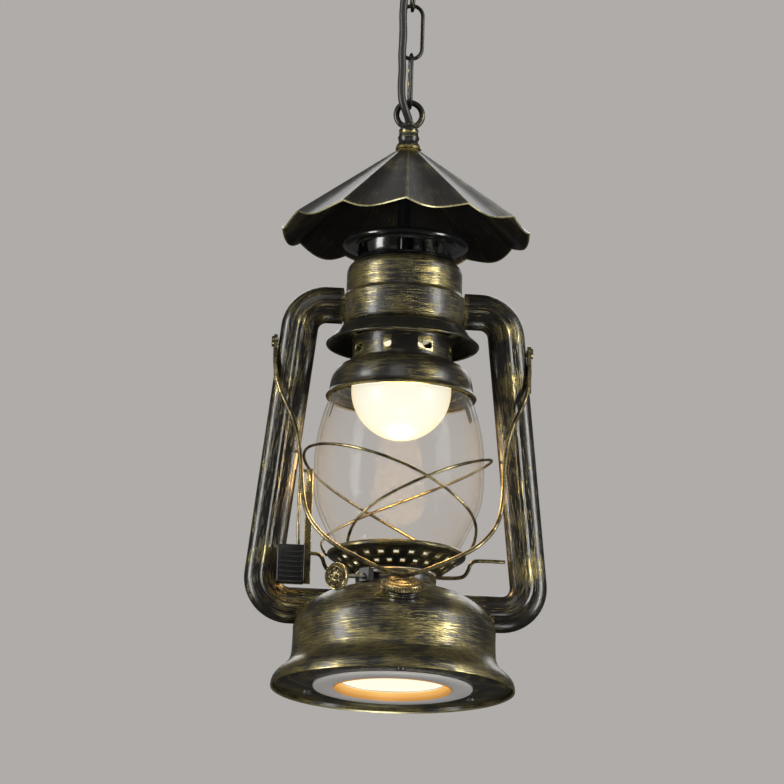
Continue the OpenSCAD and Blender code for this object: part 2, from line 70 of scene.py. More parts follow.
class LanternSizes(bpy.types.PropertyGroup):
    """Sizes that a user would change, in metres unless they say otherwise"""

    sheet: bpy.props.FloatProperty(
        name="Sheet", description="Thickness of the sheet metal",
        default=0.0012, min=0.0005, max=0.002, unit="LENGTH")
    glass: bpy.props.FloatProperty(
        name="Glass", description="Thickness of the globe's glass",
        default=0.0022, min=0.001, max=0.003, unit="LENGTH")
    guard_wire: bpy.props.FloatProperty(
        name="Guard Wire", description="Thickness of the guard wires",
        default=0.0021, min=0.001, max=0.003, unit="LENGTH")
    flutes: bpy.props.IntProperty(
        name="Flutes", description="Number of flutes in the roof", default=12, min=6, max=24)
    flute_sag: bpy.props.FloatProperty(
        name="Flute Sag", description="How far a flute hangs below its ridges at the rim",
        default=0.0056, min=0.0, max=0.01, unit="LENGTH")
    steps: bpy.props.IntProperty(
        name="Turned Steps", description="Faces round a turned piece", default=144, min=32, max=256)
    cord: bpy.props.FloatProperty(
        name="Cord", description="Thickness of the supply cord",
        default=0.0056, min=0.004, max=0.008, unit="LENGTH")


class LanternColours(bpy.types.PropertyGroup):
    """Colours and lamp strengths that a user would change"""

    paint: bpy.props.FloatVectorProperty(
        name="Paint", description="Black paint under the rubbed brass", subtype="COLOR",
        size=4, default=(0.012, 0.011, 0.009, 1), min=0, max=1)
    brass: bpy.props.FloatVectorProperty(
        name="Brass", description="Rubbed antique brass", subtype="COLOR",
        size=4, default=(0.25, 0.205, 0.075, 1), min=0, max=1)
    pale_brass: bpy.props.FloatVectorProperty(
        name="Pale Brass", description="The brightest strokes of brass", subtype="COLOR",
        size=4, default=(0.8, 0.73, 0.4, 1), min=0, max=1)
    glow: bpy.props.FloatVectorProperty(
        name="Glow", description="Colour of the lit bulb and diffuser", subtype="COLOR",
        size=4, default=(1.0, 0.97, 0.8, 1), min=0, max=1)
    bulb_power: bpy.props.FloatProperty(
        name="Bulb Power", description="Strength of the bulb's glow", default=1.0, min=0, max=60)
    backdrop: bpy.props.FloatVectorProperty(
        name="Backdrop", description="Plain wall colour behind the lantern", subtype="COLOR",
        size=4, default=(0.43, 0.412, 0.396, 1), min=0, max=1)


def sizes():
    """The sizes now set on the scene."""
    return bpy.context.scene.lantern_sizes


def colours():
    """The colours now set on the scene."""
    return bpy.context.scene.lantern_colours


# ---------------------------------------------------------------- node building


class Signal:
    """A socket that can be used in sums: each sign adds one Math node to its tree."""

    def __init__(self, bench, socket):
        self.bench, self.socket = bench, socket

    def __add__(self, other):
        return self.bench.maths("ADD", self, other)

    def __sub__(self, other):
        return self.bench.maths("SUBTRACT", self, other)

    def __rsub__(self, other):
        return self.bench.maths("SUBTRACT", other, self)

    def __mul__(self, other):
        return self.bench.maths("MULTIPLY", self, other)

    def __truediv__(self, other):
        return self.bench.maths("DIVIDE", self, other)

    def __rtruediv__(self, other):
        return self.bench.maths("DIVIDE", other, self)

    def __neg__(self):
        return self.bench.maths("MULTIPLY", self, -1.0)

    __radd__ = __add__
    __rmul__ = __mul__


class Bench:
    """Adds nodes to one tree."""

    def __init__(self, tree):
        self.tree = tree

    def plug(self, value, socket):
        if isinstance(value, Signal):
            self.tree.links.new(value.socket, socket)
        else:
            socket.default_value = value

    def add(self, kind, settings=None, inputs=None, out=0):
        """One node: its settings first, then its sockets by name or place."""
        node = self.tree.nodes.new(kind)
        for key, value in (settings or {}).items():
            if key == "stops":
                ramp = node.color_ramp.elements
                while len(ramp) < len(value):
                    ramp.new(0.5)
                for stop, (place, colour) in zip(ramp, value):
                    stop.position, stop.color = place, colour
            else:
                setattr(node, key, value)
        for key, value in (inputs or {}).items():
            self.plug(value, node.inputs[key])
        return Signal(self, node.outputs[out])

    def maths(self, operation, a, b=0.0, clamp=False):
        return self.add("ShaderNodeMath", {"operation": operation, "use_clamp": clamp}, {0: a, 1: b})

    def clamp(self, value):
        return self.maths("ADD", value, 0.0, clamp=True)

    def step(self, value, low, high):
        """0 below low, 1 above high, smooth between."""
        return self.add("ShaderNodeMapRange", {"interpolation_type": "SMOOTHSTEP"},
                        {"Value": value, "From Min": low, "From Max": high})

    def vector(self, x, y, z):
        return self.add("ShaderNodeCombineXYZ", None, {0: x, 1: y, 2: z})

    def parts(self, vector):
        node = self.add("ShaderNodeSeparateXYZ", None, {0: vector})
        return [Signal(self, s) for s in node.socket.node.outputs]

    def mix(self, factor, a, b):
        node = self.tree.nodes.new("ShaderNodeMix")
        node.data_type = "RGBA"
        self.plug(factor, node.inputs["Factor"])
        self.plug(a, node.inputs[6])
        self.plug(b, node.inputs[7])
        return Signal(self, node.outputs[2])

    def noise(self, vector, scale, detail=4.0, rough=0.55, distortion=0.0):
        return self.add("ShaderNodeTexNoise", None, {
            "Vector": vector, "Scale": scale, "Detail": detail, "Roughness": rough,
            "Distortion": distortion})

    def object_place(self):
        return self.add("ShaderNodeTexCoord", out=3)

    def uv_place(self):
        return self.add("ShaderNodeTexCoord", out=2)

    def attribute(self, name):
        return self.add("ShaderNodeAttribute", {"attribute_name": name}, out=2)

    def bump(self, height, distance, strength=1.0):
        return self.add("ShaderNodeBump", None, {
            "Height": height, "Distance": distance, "Strength": strength})


def material(name):
    """A new material with an empty Principled surface, and its bench."""
    made = bpy.data.materials.new(name)
    made.use_nodes = True
    bench = Bench(made.node_tree)
    shader = made.node_tree.nodes["Principled BSDF"]
    return made, bench, shader


def finish_with(bench, shader, **values):
    """Feeds the shader's inputs, named with _ for each space."""
    for key, value in values.items():
        bench.plug(value, shader.inputs[key.replace("_", " ")])


MATERIALS = {}


def once(maker):
    """Makes each material the first time it is asked for, and hands out the same one after that."""
    def made(*words):
        key = (maker.__name__,) + words
        if key not in MATERIALS:
            MATERIALS[key] = maker(*words)
        return MATERIALS[key]
    return made


# ---------------------------------------------------------------- materials

# Which way the strokes of rubbed brass run
TURNED = "turned"
RADIAL = "radial"
LENGTHWISE = "lengthwise"
ALL_OVER = "all_over"

RADIAL_SPREAD = 0.06              # radius in metres at which strokes on the roof are at full width
STROKE_SETS = ((0, 1.0), (5, 0.98), (-11, 0.94))  # each set's slant in degrees, and its weight
STROKES_ALONG, STROKES_ACROSS = 42.0, 1500.0      # how fine the strokes are each way, per metre


def spread(bench, layout):
    """Two lengths over the surface, along the strokes and across them, in metres."""
    if layout == LENGTHWISE:
        u, v, _ = bench.parts(bench.uv_place())
        return v, u
    x, y, z = bench.parts(bench.object_place())
    radius = bench.maths("SQRT", x * x + y * y) + 0.0005
    around = bench.maths("ARCTAN2", x, -y)
    if layout == RADIAL:
        return radius, around * RADIAL_SPREAD
    return around * radius, z


def hatch(bench, layout):
    """Dry-brush strokes under a millimetre wide: one set runs straight, two cross it at a slant."""
    if layout == ALL_OVER:
        return bench.noise(bench.object_place(), 420.0, 6.0, 0.66)
    along, across = spread(bench, layout)
    sets = []
    for turn, weight in STROKE_SETS:
        c, s = math.cos(math.radians(turn)), math.sin(math.radians(turn))
        spot = bench.vector((along * c + across * s) * STROKES_ALONG,
                            (across * c - along * s) * STROKES_ACROSS, float(turn))
        sets.append(bench.noise(spot, 1.0, 5.0, 0.68, 0.25) * weight)
    return bench.maths("MAXIMUM", sets[0], bench.maths("MAXIMUM", sets[1], sets[2]))


@once
def rubbed_brass(layout, cover, shine):
    """Black paint with dry-brushed brass: strokes, blotches, and more brass on raised edges."""
    made, bench, shader = material(f"rubbed_brass_{layout}_{int(cover * 100)}")
    strokes = hatch(bench, layout)
    blotches = bench.noise(bench.object_place(), 42.0, 3.0, 0.6)
    grit = bench.noise(bench.object_place(), 2600.0, 2.0, 0.5)
    wear = bench.attribute("wear")
    amount = strokes + (blotches - 0.5) * 0.45 + wear * 0.3
    start = 0.72 - cover * 0.34
    mask = bench.step(amount, start, start + 0.09)
    bright = bench.step(amount, start + 0.09, start + 0.26)
    gold = bench.mix(bright, tuple(colours().brass), tuple(colours().pale_brass))
    colour = bench.mix(mask, tuple(colours().paint), gold)
    finish_with(
        bench, shader,
        Base_Color=colour,
        Metallic=mask * 0.92,
        Roughness=bench.clamp(0.42 - shine * 0.8 + (grit - 0.5) * 0.12),
        Coat_Weight=0.18,
        Coat_Roughness=0.14,
        Normal=bench.bump(strokes * 0.8 + mask * 0.5 + grit * 0.25, 0.00014, 0.6),
    )
    return made


@once
def gloss_black():
    """Wet-looking black enamel with fine orange peel."""
    made, bench, shader = material("gloss_black")
    place = bench.object_place()
    peel = bench.noise(place, 420.0, 2.0, 0.5)
    dust = bench.noise(place, 90.0, 5.0, 0.6)
    wear = bench.attribute("wear")
    rubbed = bench.step(wear + (dust - 0.5) * 0.8, 0.55, 0.9)
    finish_with(
        bench, shader,
        Base_Color=bench.mix(rubbed, (0.006, 0.006, 0.007, 1), tuple(colours().brass)),
        Metallic=rubbed * 0.8,
        Roughness=bench.clamp(0.12 + dust * 0.14 + rubbed * 0.2),
        Coat_Weight=0.5,
        Coat_Roughness=0.06,
        Normal=bench.bump(peel, 0.00006, 0.4),
    )
    return made


@once
def wire_brass(tone):
    """Drawn brass wire, darkened unevenly along its length."""
    made, bench, shader = material(f"wire_brass_{int(tone * 100)}")
    place = bench.object_place()
    tarnish = bench.noise(place, 70.0, 4.0, 0.6)
    fine = bench.noise(place, 900.0, 3.0, 0.6)
    dark = bench.step(tarnish + (fine - 0.5) * 0.5, 0.36 + tone * 0.2, 0.62 + tone * 0.2)
    shade = bench.mix(dark, (0.36, 0.3, 0.15, 1), (0.05, 0.04, 0.022, 1))
    finish_with(
        bench, shader,
        Base_Color=shade,
        Metallic=0.9,
        Roughness=bench.clamp(0.24 + dark * 0.2 + (fine - 0.5) * 0.2),
        Normal=bench.bump(fine, 0.00005, 0.4),
    )
    return made


@once
def plain_metal(name, red, green, blue, rough):
    """Plated or spun metal with faint turning marks."""
    made, bench, shader = material(name)
    x, y, z = bench.parts(bench.object_place())
    radius = bench.maths("SQRT", x * x + y * y)
    marks = bench.noise(bench.vector(radius * 900.0, z * 900.0, 0.0), 1.0, 3.0)
    smudge = bench.noise(bench.object_place(), 60.0, 3.0)
    shade = bench.mix(smudge, (red * 0.8, green * 0.8, blue * 0.8, 1), (red, green, blue, 1))
    finish_with(bench, shader, Base_Color=shade, Metallic=1.0,
                Roughness=bench.clamp(rough + (smudge - 0.5) * 0.15),
                Normal=bench.bump(marks, 0.00004, 0.4))
    return made


@once
def moulded(name, red, green, blue, rough):
    """Moulded plastic or rubber with a faint grain."""
    made, bench, shader = material(name)
    grain = bench.noise(bench.object_place(), 1500.0, 2.0)
    cloud = bench.noise(bench.object_place(), 40.0, 3.0)
    shade = bench.mix(cloud, (red * 0.85, green * 0.85, blue * 0.85, 1), (red, green, blue, 1))
    finish_with(bench, shader, Base_Color=shade,
                Roughness=bench.clamp(rough + (cloud - 0.5) * 0.12),
                Normal=bench.bump(grain, 0.00005, 0.35))
    return made


@once
def clear_glass():
    """Blown glass: nearly invisible face on, with brighter edges and faint streaks."""
    made, bench, shader = material("clear_glass")
    facing = bench.add("ShaderNodeLayerWeight", None, {"Blend": 0.42}, out=1)
    waves = bench.noise(bench.object_place(), 26.0, 2.0)
    smear = bench.noise(bench.object_place(), 15.0, 5.0, 0.6)
    alpha = bench.clamp(0.025 + bench.maths("POWER", facing, 2.4) * 0.6 + (smear - 0.4) * 0.04)
    finish_with(bench, shader, Base_Color=(0.22, 0.23, 0.23, 1),
                Roughness=bench.clamp(0.02 + smear * 0.04), Alpha=alpha,
                Normal=bench.bump(waves, 0.0006, 0.25))
    shader.inputs["IOR"].default_value = 1.5
    shader.inputs["Specular IOR Level"].default_value = 0.75
    return made


@once
def glowing(name, power, edge):
    """A lit opal surface, warmer towards its rim. On a part that is no lamp, such as the burner cone,
    this glow is painted light.
    """
    made, bench, shader = material(name)
    facing = bench.add("ShaderNodeLayerWeight", None, {"Blend": 0.35}, out=1)
    mottle = bench.noise(bench.object_place(), 60.0, 2.0)
    warm = bench.clamp(bench.maths("POWER", facing, 2.0) * edge + (mottle - 0.5) * 0.04)
    glow = bench.mix(warm, tuple(colours().glow), (0.95, 0.72, 0.34, 1))
    finish_with(bench, shader, Base_Color=bench.mix(warm, (0.1, 0.095, 0.08, 1), (0.1, 0.08, 0.05, 1)),
                Emission_Color=glow, Roughness=bench.clamp(0.35 + (mottle - 0.5) * 0.1))
    shader.inputs["Emission Strength"].default_value = power
    return made


@once
def lit_paper(name):
    """Evenly lit studio paper: it shows as bright as the wall and throws no light of its own."""
    made, bench, shader = material(name)
    seen = bench.add("ShaderNodeLightPath", out=0)
    fibre = bench.noise(bench.object_place(), 8.0, 3.0)
    wall = tuple(colours().backdrop)
    finish_with(bench, shader, Base_Color=(0.12, 0.115, 0.11, 1), Emission_Color=wall,
                Emission_Strength=seen * 0.9, Roughness=bench.clamp(0.85 + (fibre - 0.5) * 0.1))
    return made


@once
def amber_reflector():
    """Warm metallised plastic, lit by the lamp behind it."""
    made, bench, shader = material("amber_reflector")
    x, y, _ = bench.parts(bench.object_place())
    radius = bench.maths("SQRT", x * x + y * y)
    inner = 1 - bench.step(radius, 0.0355, 0.041)
    rings = bench.noise(bench.vector(radius * 700.0, 0.0, 0.0), 1.0, 2.0)
    finish_with(bench, shader,
                Base_Color=bench.mix(inner, (0.62, 0.3, 0.07, 1), (0.9, 0.52, 0.16, 1)),
                Emission_Color=bench.mix(inner, (0.5, 0.2, 0.04, 1), (1.0, 0.55, 0.16, 1)),
                Metallic=0.35, Roughness=bench.clamp(0.25 + (rings - 0.5) * 0.2),
                Normal=bench.bump(rings, 0.0001, 0.5))
    shader.inputs["Emission Strength"].default_value = 0.6
    return made


@once
def cord_jacket():
    """Soft black jacket with the lay of its twisted cores showing through."""
    made, bench, shader = material("cord_jacket")
    u, v, _ = bench.parts(bench.uv_place())
    lay = bench.maths("SINE", v * 420.0 + u * 360.0)
    fine = bench.noise(bench.object_place(), 1400.0, 3.0)
    finish_with(bench, shader,
                Base_Color=bench.mix(fine, (0.008, 0.008, 0.008, 1), (0.03, 0.028, 0.026, 1)),
                Roughness=bench.clamp(0.42 + (fine - 0.5) * 0.25),
                Normal=bench.bump(lay * 0.6 + fine * 0.2, 0.0002, 0.5))
    return made


# ---------------------------------------------------------------- shapes


def place(x, y, z):
    """A point given in millimetres from the middle of the lantern's foot, in the frame."""
    return Vector((x * MM, y * MM, z * MM + FOOT))


def link(name, mesh):
    """A new object in the scene with this data."""
    made = bpy.data.objects.new(name, mesh)
    bpy.context.scene.collection.objects.link(made)
    return made


def remove(obj):
    bpy.data.objects.remove(obj, do_unlink=True)


def applied(obj, name=None):
    """A plain mesh object from obj with its modifiers made real, in obj's stead."""
    bpy.context.view_layer.update()
    graph = bpy.context.evaluated_depsgraph_get()
    mesh = bpy.data.meshes.new_from_object(obj.evaluated_get(graph))
    name = name or obj.name
    remove(obj)
    return link(name, mesh)


def thickened(obj, thickness, offset, name):
    """A sheet given its wall, to one side of it or (with offset 0) to both."""
    wall = obj.modifiers.new("thickness", "SOLIDIFY")
    wall.thickness, wall.offset = thickness, offset
    return applied(obj, name)


def crisp(obj, angle=SHARP):
    """Smooth shading with crisp edges."""
    obj.data.polygons.foreach_set("use_smooth", [True] * len(obj.data.polygons))
    obj.data.set_sharp_from_angle(angle=angle)
    return obj


def worn(obj, reach=0.5):
    """Stores how far each point stands out of its neighbours, from 0 to 1, as 'wear'."""
    mesh = obj.data
    count = len(mesh.vertices)
    spots = np.empty(count * 3)
    mesh.vertices.foreach_get("co", spots)
    spots = spots.reshape(-1, 3)
    normals = np.empty(count * 3)
    mesh.vertices.foreach_get("normal", normals)
    normals = normals.reshape(-1, 3)
    edges = np.empty(len(mesh.edges) * 2, dtype=np.int64)
    mesh.edges.foreach_get("vertices", edges)
    edges = edges.reshape(-1, 2)
    total = np.zeros(count)
    for a, b in ((0, 1), (1, 0)):
        way = spots[edges[:, b]] - spots[edges[:, a]]
        way /= np.linalg.norm(way, axis=1)[:, None] + 1e-9
        down = -(way * normals[edges[:, a]]).sum(1)
        np.maximum.at(total, edges[:, a], down)
    wear = np.clip(total * WEAR_GAIN * reach - WEAR_FLOOR, 0, 1)
    layer = mesh.attributes.new("wear", "FLOAT", "POINT")
    layer.data.foreach_set("value", wear)
    return obj


def dress(obj, finish, body, *stands_for):
    """Gives a finished piece its material, the body it rides on and the CAD nodes it stands for."""
    obj.data.materials.clear()
    obj.data.materials.append(finish)
    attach(obj, body)
    if stands_for:
        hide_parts(*stands_for)
    return obj


def arc(centre, radius, start, end, count):
    """Points on an arc, in degrees."""
    turns = [math.radians(start + (end - start) * i / count) for i in range(count + 1)]
    return [(centre[0] + radius * math.cos(t), centre[1] + radius * math.sin(t)) for t in turns]


def curve(a, b, c, d, count):
    """Points on a curve from a to d with the handles b and c."""
    out = []
    for i in range(count + 1):
        t = i / count
        s = 1 - t
        out.append(tuple(
            s * s * s * a[k] + 3 * s * s * t * b[k] + 3 * s * t * t * c[k] + t * t * t * d[k]
            for k in range(2)))
    return out


def eased(path, radius, count=4):
    """The open path with its corners rounded."""
    out = [path[0]]
    for before, corner, after in zip(path, path[1:], path[2:]):
        b, c, a = Vector(before), Vector(corner), Vector(after)
        cut = min(radius, (b - c).length * 0.45, (a - c).length * 0.45)
        start, end = c + (b - c).normalized() * cut, c + (a - c).normalized() * cut
        for i in range(count + 1):
            t = i / count
            spot = start * (1 - t) ** 2 + c * 2 * t * (1 - t) + end * t * t
            out.append((spot.x, spot.y))
    return out + [path[-1]]


def walled(path, wall):
    """A closed outline: the path, and back along the same path moved to its left."""
    inner = []
    for i, spot in enumerate(path):
        a, b = Vector(path[max(i - 1, 0)]), Vector(path[min(i + 1, len(path) - 1)])
        u = (b - a).normalized()
        inner.append((spot[0] - u.y * wall, spot[1] + u.x * wall))
    return list(path) + inner[::-1]


def grid_mesh(name, rings, close_rings=False, close_section=True, uv=None):
    """A mesh through rings of points; uv gives each ring's place and each point's place on it."""
    count, width = len(rings), len(rings[0])
    made = bmesh.new()
    verts = [[made.verts.new(p) for p in ring] for ring in rings]
    layer = made.loops.layers.uv.new("UVMap") if uv else None
    for i in range(count if close_rings else count - 1):
        j = (i + 1) % count
        for k in range(width if close_section else width - 1):
            m = (k + 1) % width
            face = made.faces.new((verts[i][k], verts[i][m], verts[j][m], verts[j][k]))
            if layer:
                spots = ((i, k), (i, k + 1), (i + 1, k + 1), (i + 1, k))
                for loop, (row, column) in zip(face.loops, spots):
                    loop[layer].uv = (uv[1][min(column, len(uv[1]) - 1)],
                                      uv[0][min(row, len(uv[0]) - 1)])
    bmesh.ops.remove_doubles(made, verts=made.verts, dist=1e-7)
    bmesh.ops.recalc_face_normals(made, faces=made.faces)
    mesh = bpy.data.meshes.new(name)
    made.to_mesh(mesh)
    made.free()
    return mesh


def own_place(x, y, z):
    """A point given in millimetres from a piece's own origin."""
    return Vector((x, y, z)) * MM


def turned(name, outline, steps=None, spot=place):
    """A turned piece from a closed outline of (radius, height) in mm, about the lantern's axis."""
    steps = steps or sizes().steps
    rings = []
    for i in range(steps):
        a = 2 * math.pi * i / steps
        rings.append([spot(r * math.cos(a), r * math.sin(a), z) for r, z in outline])
    return link(name, grid_mesh(name, rings, close_rings=True))


def turned_apart(name, outline, steps):
    """A turned piece about its own Z axis at the origin, to be moved to its place."""
    return turned(name, outline, steps, own_place)


def smooth_path(points, per_span=6, closed=False):
    """A smooth path through the points."""
    points = [Vector(p) for p in points]
    count = len(points)
    out = []
    for i in range(count if closed else count - 1):
        if closed:
            p = [points[(i + k) % count] for k in (-1, 0, 1, 2)]
        else:
            p = [points[min(max(i + k, 0), count - 1)] for k in (-1, 0, 1, 2)]
        for n in range(per_span):
            t = n / per_span
            out.append(0.5 * (2 * p[1] + (p[2] - p[0]) * t
                              + (2 * p[0] - 5 * p[1] + 4 * p[2] - p[3]) * t * t
                              + (3 * p[1] - p[0] - 3 * p[2] + p[3]) * t ** 3))
    return out if closed else out + [points[-1]]


def path_object(name, points, closed=False):
    """An object that is only a line through the points."""
    mesh = bpy.data.meshes.new(name)
    count = len(points)
    edges = [(i, (i + 1) % count) for i in range(count if closed else count - 1)]
    mesh.from_pydata([tuple(p) for p in points], edges, [])
    return link(name, mesh)


def tree_with(name, numbers):
    """The bench of a new Geometry Nodes tree, and the tree's inputs by name."""
    tree = bpy.data.node_groups.new(name, "GeometryNodeTree")
    tree.interface.new_socket("Geometry", in_out="INPUT", socket_type="NodeSocketGeometry")
    tree.interface.new_socket("Geometry", in_out="OUTPUT", socket_type="NodeSocketGeometry")
    for label, kind, value in numbers:
        socket = tree.interface.new_socket(label, in_out="INPUT", socket_type=kind)
        if value is not None:
            socket.default_value = value
    bench = Bench(tree)
    entry = tree.nodes.new("NodeGroupInput")
    ends = {s.name: Signal(bench, s) for s in entry.outputs if s.name}
    return bench, ends


def close_tree(bench, geometry, ends):
    """Realizes the geometry, gives it the material and hands it out."""
    real = bench.add("GeometryNodeRealizeInstances", None, {0: geometry})
    done = bench.add("GeometryNodeSetMaterial", None, {"Geometry": real, "Material": ends["Finish"]})
    bench.plug(done, bench.tree.nodes.new("NodeGroupOutput").inputs[0])
    return bench.tree


def with_tree(obj, tree, values, name):
    """obj run through the tree and made a plain mesh."""
    modifier = obj.modifiers.new("tree", "NODES")
    modifier.node_group = tree
    for item in tree.interface.items_tree:
        if item.item_type == "SOCKET" and item.in_out == "INPUT" and item.name in values:
            modifier[item.identifier] = values[item.name]
    return applied(obj, name)


def wire_tree():
    """Draws a round wire along its input's edges."""
    if "lantern_wire" in bpy.data.node_groups:
        return bpy.data.node_groups["lantern_wire"]
    bench, ends = tree_with("lantern_wire", [
        ("Radius", "NodeSocketFloat", 0.001), ("Sides", "NodeSocketInt", 14),
        ("Finish", "NodeSocketMaterial", None)])
    path = bench.add("GeometryNodeMeshToCurve", None, {"Mesh": ends["Geometry"]})
    round_wire = bench.add("GeometryNodeCurvePrimitiveCircle", {"mode": "RADIUS"},
                           {"Resolution": ends["Sides"], "Radius": ends["Radius"]})
    skin = bench.add("GeometryNodeCurveToMesh", None, {
        "Curve": path, "Profile Curve": round_wire, "Fill Caps": True})
    soft = bench.add("GeometryNodeSetShadeSmooth", None, {"Geometry": skin, "Shade Smooth": True})
    return close_tree(bench, soft, ends)


def wheel_tree():
    """Sets copies of its input round the Z axis, each turned to face outwards."""
    if "lantern_wheel" in bpy.data.node_groups:
        return bpy.data.node_groups["lantern_wheel"]
    bench, ends = tree_with("lantern_wheel", [
        ("Count", "NodeSocketInt", 12), ("Radius", "NodeSocketFloat", 0.01),
        ("Start", "NodeSocketFloat", 0.0), ("Finish", "NodeSocketMaterial", None)])
    circle = bench.add("GeometryNodeMeshCircle", {"fill_type": "NONE"}, {
        "Vertices": ends["Count"], "Radius": ends["Radius"]})
    turn = bench.add("GeometryNodeInputIndex") * (2 * math.pi) / ends["Count"]
    copies = bench.add("GeometryNodeInstanceOnPoints", None, {
        "Points": circle, "Instance": ends["Geometry"], "Rotation": bench.vector(0.0, 0.0, turn)})
    turned_copies = bench.add("GeometryNodeTransform", None, {
        "Geometry": copies, "Rotation": bench.vector(0.0, 0.0, ends["Start"])})
    return close_tree(bench, turned_copies, ends)


def wire(name, points, radius, finish, closed=False, sides=14):
    """A round wire along points given in the frame, made by the wire tree."""
    source = path_object(name + "_path", points, closed)
    made = with_tree(source, wire_tree(), {"Radius": radius, "Sides": sides, "Finish": finish}, name)
    return worn(made)


def wheel(name, pattern, count, radius, start, finish):
    """Copies of a pattern object round the Z axis, made by the wheel tree."""
    return with_tree(pattern, wheel_tree(), {
        "Count": count, "Radius": radius, "Start": math.radians(start), "Finish": finish}, name)


def joined(name, objects):
    """One object out of several, with their meshes side by side."""
    made = bmesh.new()
    for obj in objects:
        made.from_mesh(obj.data)
        remove(obj)
    mesh = bpy.data.meshes.new(name)
    made.to_mesh(mesh)
    made.free()
    return link(name, mesh)


def moved(obj, matrix):
    """obj with its mesh carried to its place, so that the object itself stays at the origin."""
    obj.data.transform(matrix)
    if matrix.determinant() < 0:
        obj.data.flip_normals()
    return obj


def round_the_lantern(turn):
    """From a piece's own place in mm above the foot to the frame, turned by that many degrees."""
    return Matrix.Translation((0, 0, FOOT)) @ Matrix.Rotation(math.radians(turn), 4, "Z")


def block(name, low, high, round_by=0.0):
    """A box between two corners in mm, with its edges rounded."""
    made = bmesh.new()
    bmesh.ops.create_cube(made, size=1.0)
    low, high = Vector(low) * MM, Vector(high) * MM
    for v in made.verts:
        v.co = Vector([(low[k] + high[k]) / 2 + v.co[k] * (high[k] - low[k]) for k in range(3)])
    if round_by:
        bmesh.ops.bevel(made, geom=made.edges[:], offset=round_by * MM, segments=3,
                        affect="EDGES", profile=0.5)
    mesh = bpy.data.meshes.new(name)
    made.to_mesh(mesh)
    made.free()
    return link(name, mesh)


def cut(obj, cutters):
    """obj with the cutters taken out of it."""
    for cutter in cutters:
        step = obj.modifiers.new("cut", "BOOLEAN")
        step.operation, step.solver, step.object = "DIFFERENCE", "EXACT", cutter
    made = applied(obj)
    for cutter in cutters:
        remove(cutter)
    return made


def closed_up(obj):
    """obj with its open ends filled and its faces pointing outwards."""
    made = bmesh.new()
    made.from_mesh(obj.data)
    bmesh.ops.holes_fill(made, edges=[e for e in made.edges if len(e.link_faces) == 1])
    bmesh.ops.recalc_face_normals(made, faces=made.faces)
    made.to_mesh(obj.data)
    made.free()
    return obj


def upright(obj):
    """A closed obj with its faces pointing outwards."""
    made = bmesh.new()
    made.from_mesh(obj.data)
    bmesh.ops.recalc_face_normals(made, faces=made.faces)
    made.to_mesh(obj.data)
    made.free()
    return obj


# ---------------------------------------------------------------- stage

LOOK_AT = (-6.5, 0.0, 212.6)       # middle of the view, in mm from the lantern's foot
VIEW_DISTANCE = 4.7
VIEW_HEIGHT = 0.549               # how much the view takes in at that distance
VIEW_TURN = -4.5                  # degrees round the lantern, towards its left
VIEW_RISE = -13.7
VIEW_ROLL = 1.7
SENSOR = 36.0
LIT_MIDDLE = (0, 0, 214)          # where the soft lights point, in mm from the lantern's foot
WARM_LIGHT = (0, 0, 163)          # where the bulb's warm light comes from, just under the bulb
FLOOR_REACH, FLOOR_HEIGHT = 9.0, -3.0
ROOM_DIM = 0.16                   # how bright the wall lights the lantern, against how it looks


def direction(turn, rise):
    """A unit vector from the lantern towards a viewer at that turn and rise, in degrees."""
    a, e = math.radians(turn), math.radians(rise)
    return Vector((math.sin(a) * math.cos(e), -math.cos(a) * math.cos(e), math.sin(e)))


def aimed(obj, spot, target, roll=0.0):
    """Sets obj at spot, looking at the target."""
    obj.location = spot
    obj.rotation_euler = ((target - spot).to_track_quat("-Z", "Y").to_matrix()
                          @ Matrix.Rotation(math.radians(roll), 3, "Z")).to_euler()


def soft_light(name, turn, rise, distance, size, power, colour=(1, 1, 1)):
    """A soft rectangular light that points at the lantern."""
    data = bpy.data.lights.new(name, "AREA")
    data.shape = "RECTANGLE"
    data.size, data.size_y = size
    data.energy, data.color = power, colour
    lamp = link(name, data)
    target = place(*LIT_MIDDLE)
    aimed(lamp, target + direction(turn, rise) * distance, target)


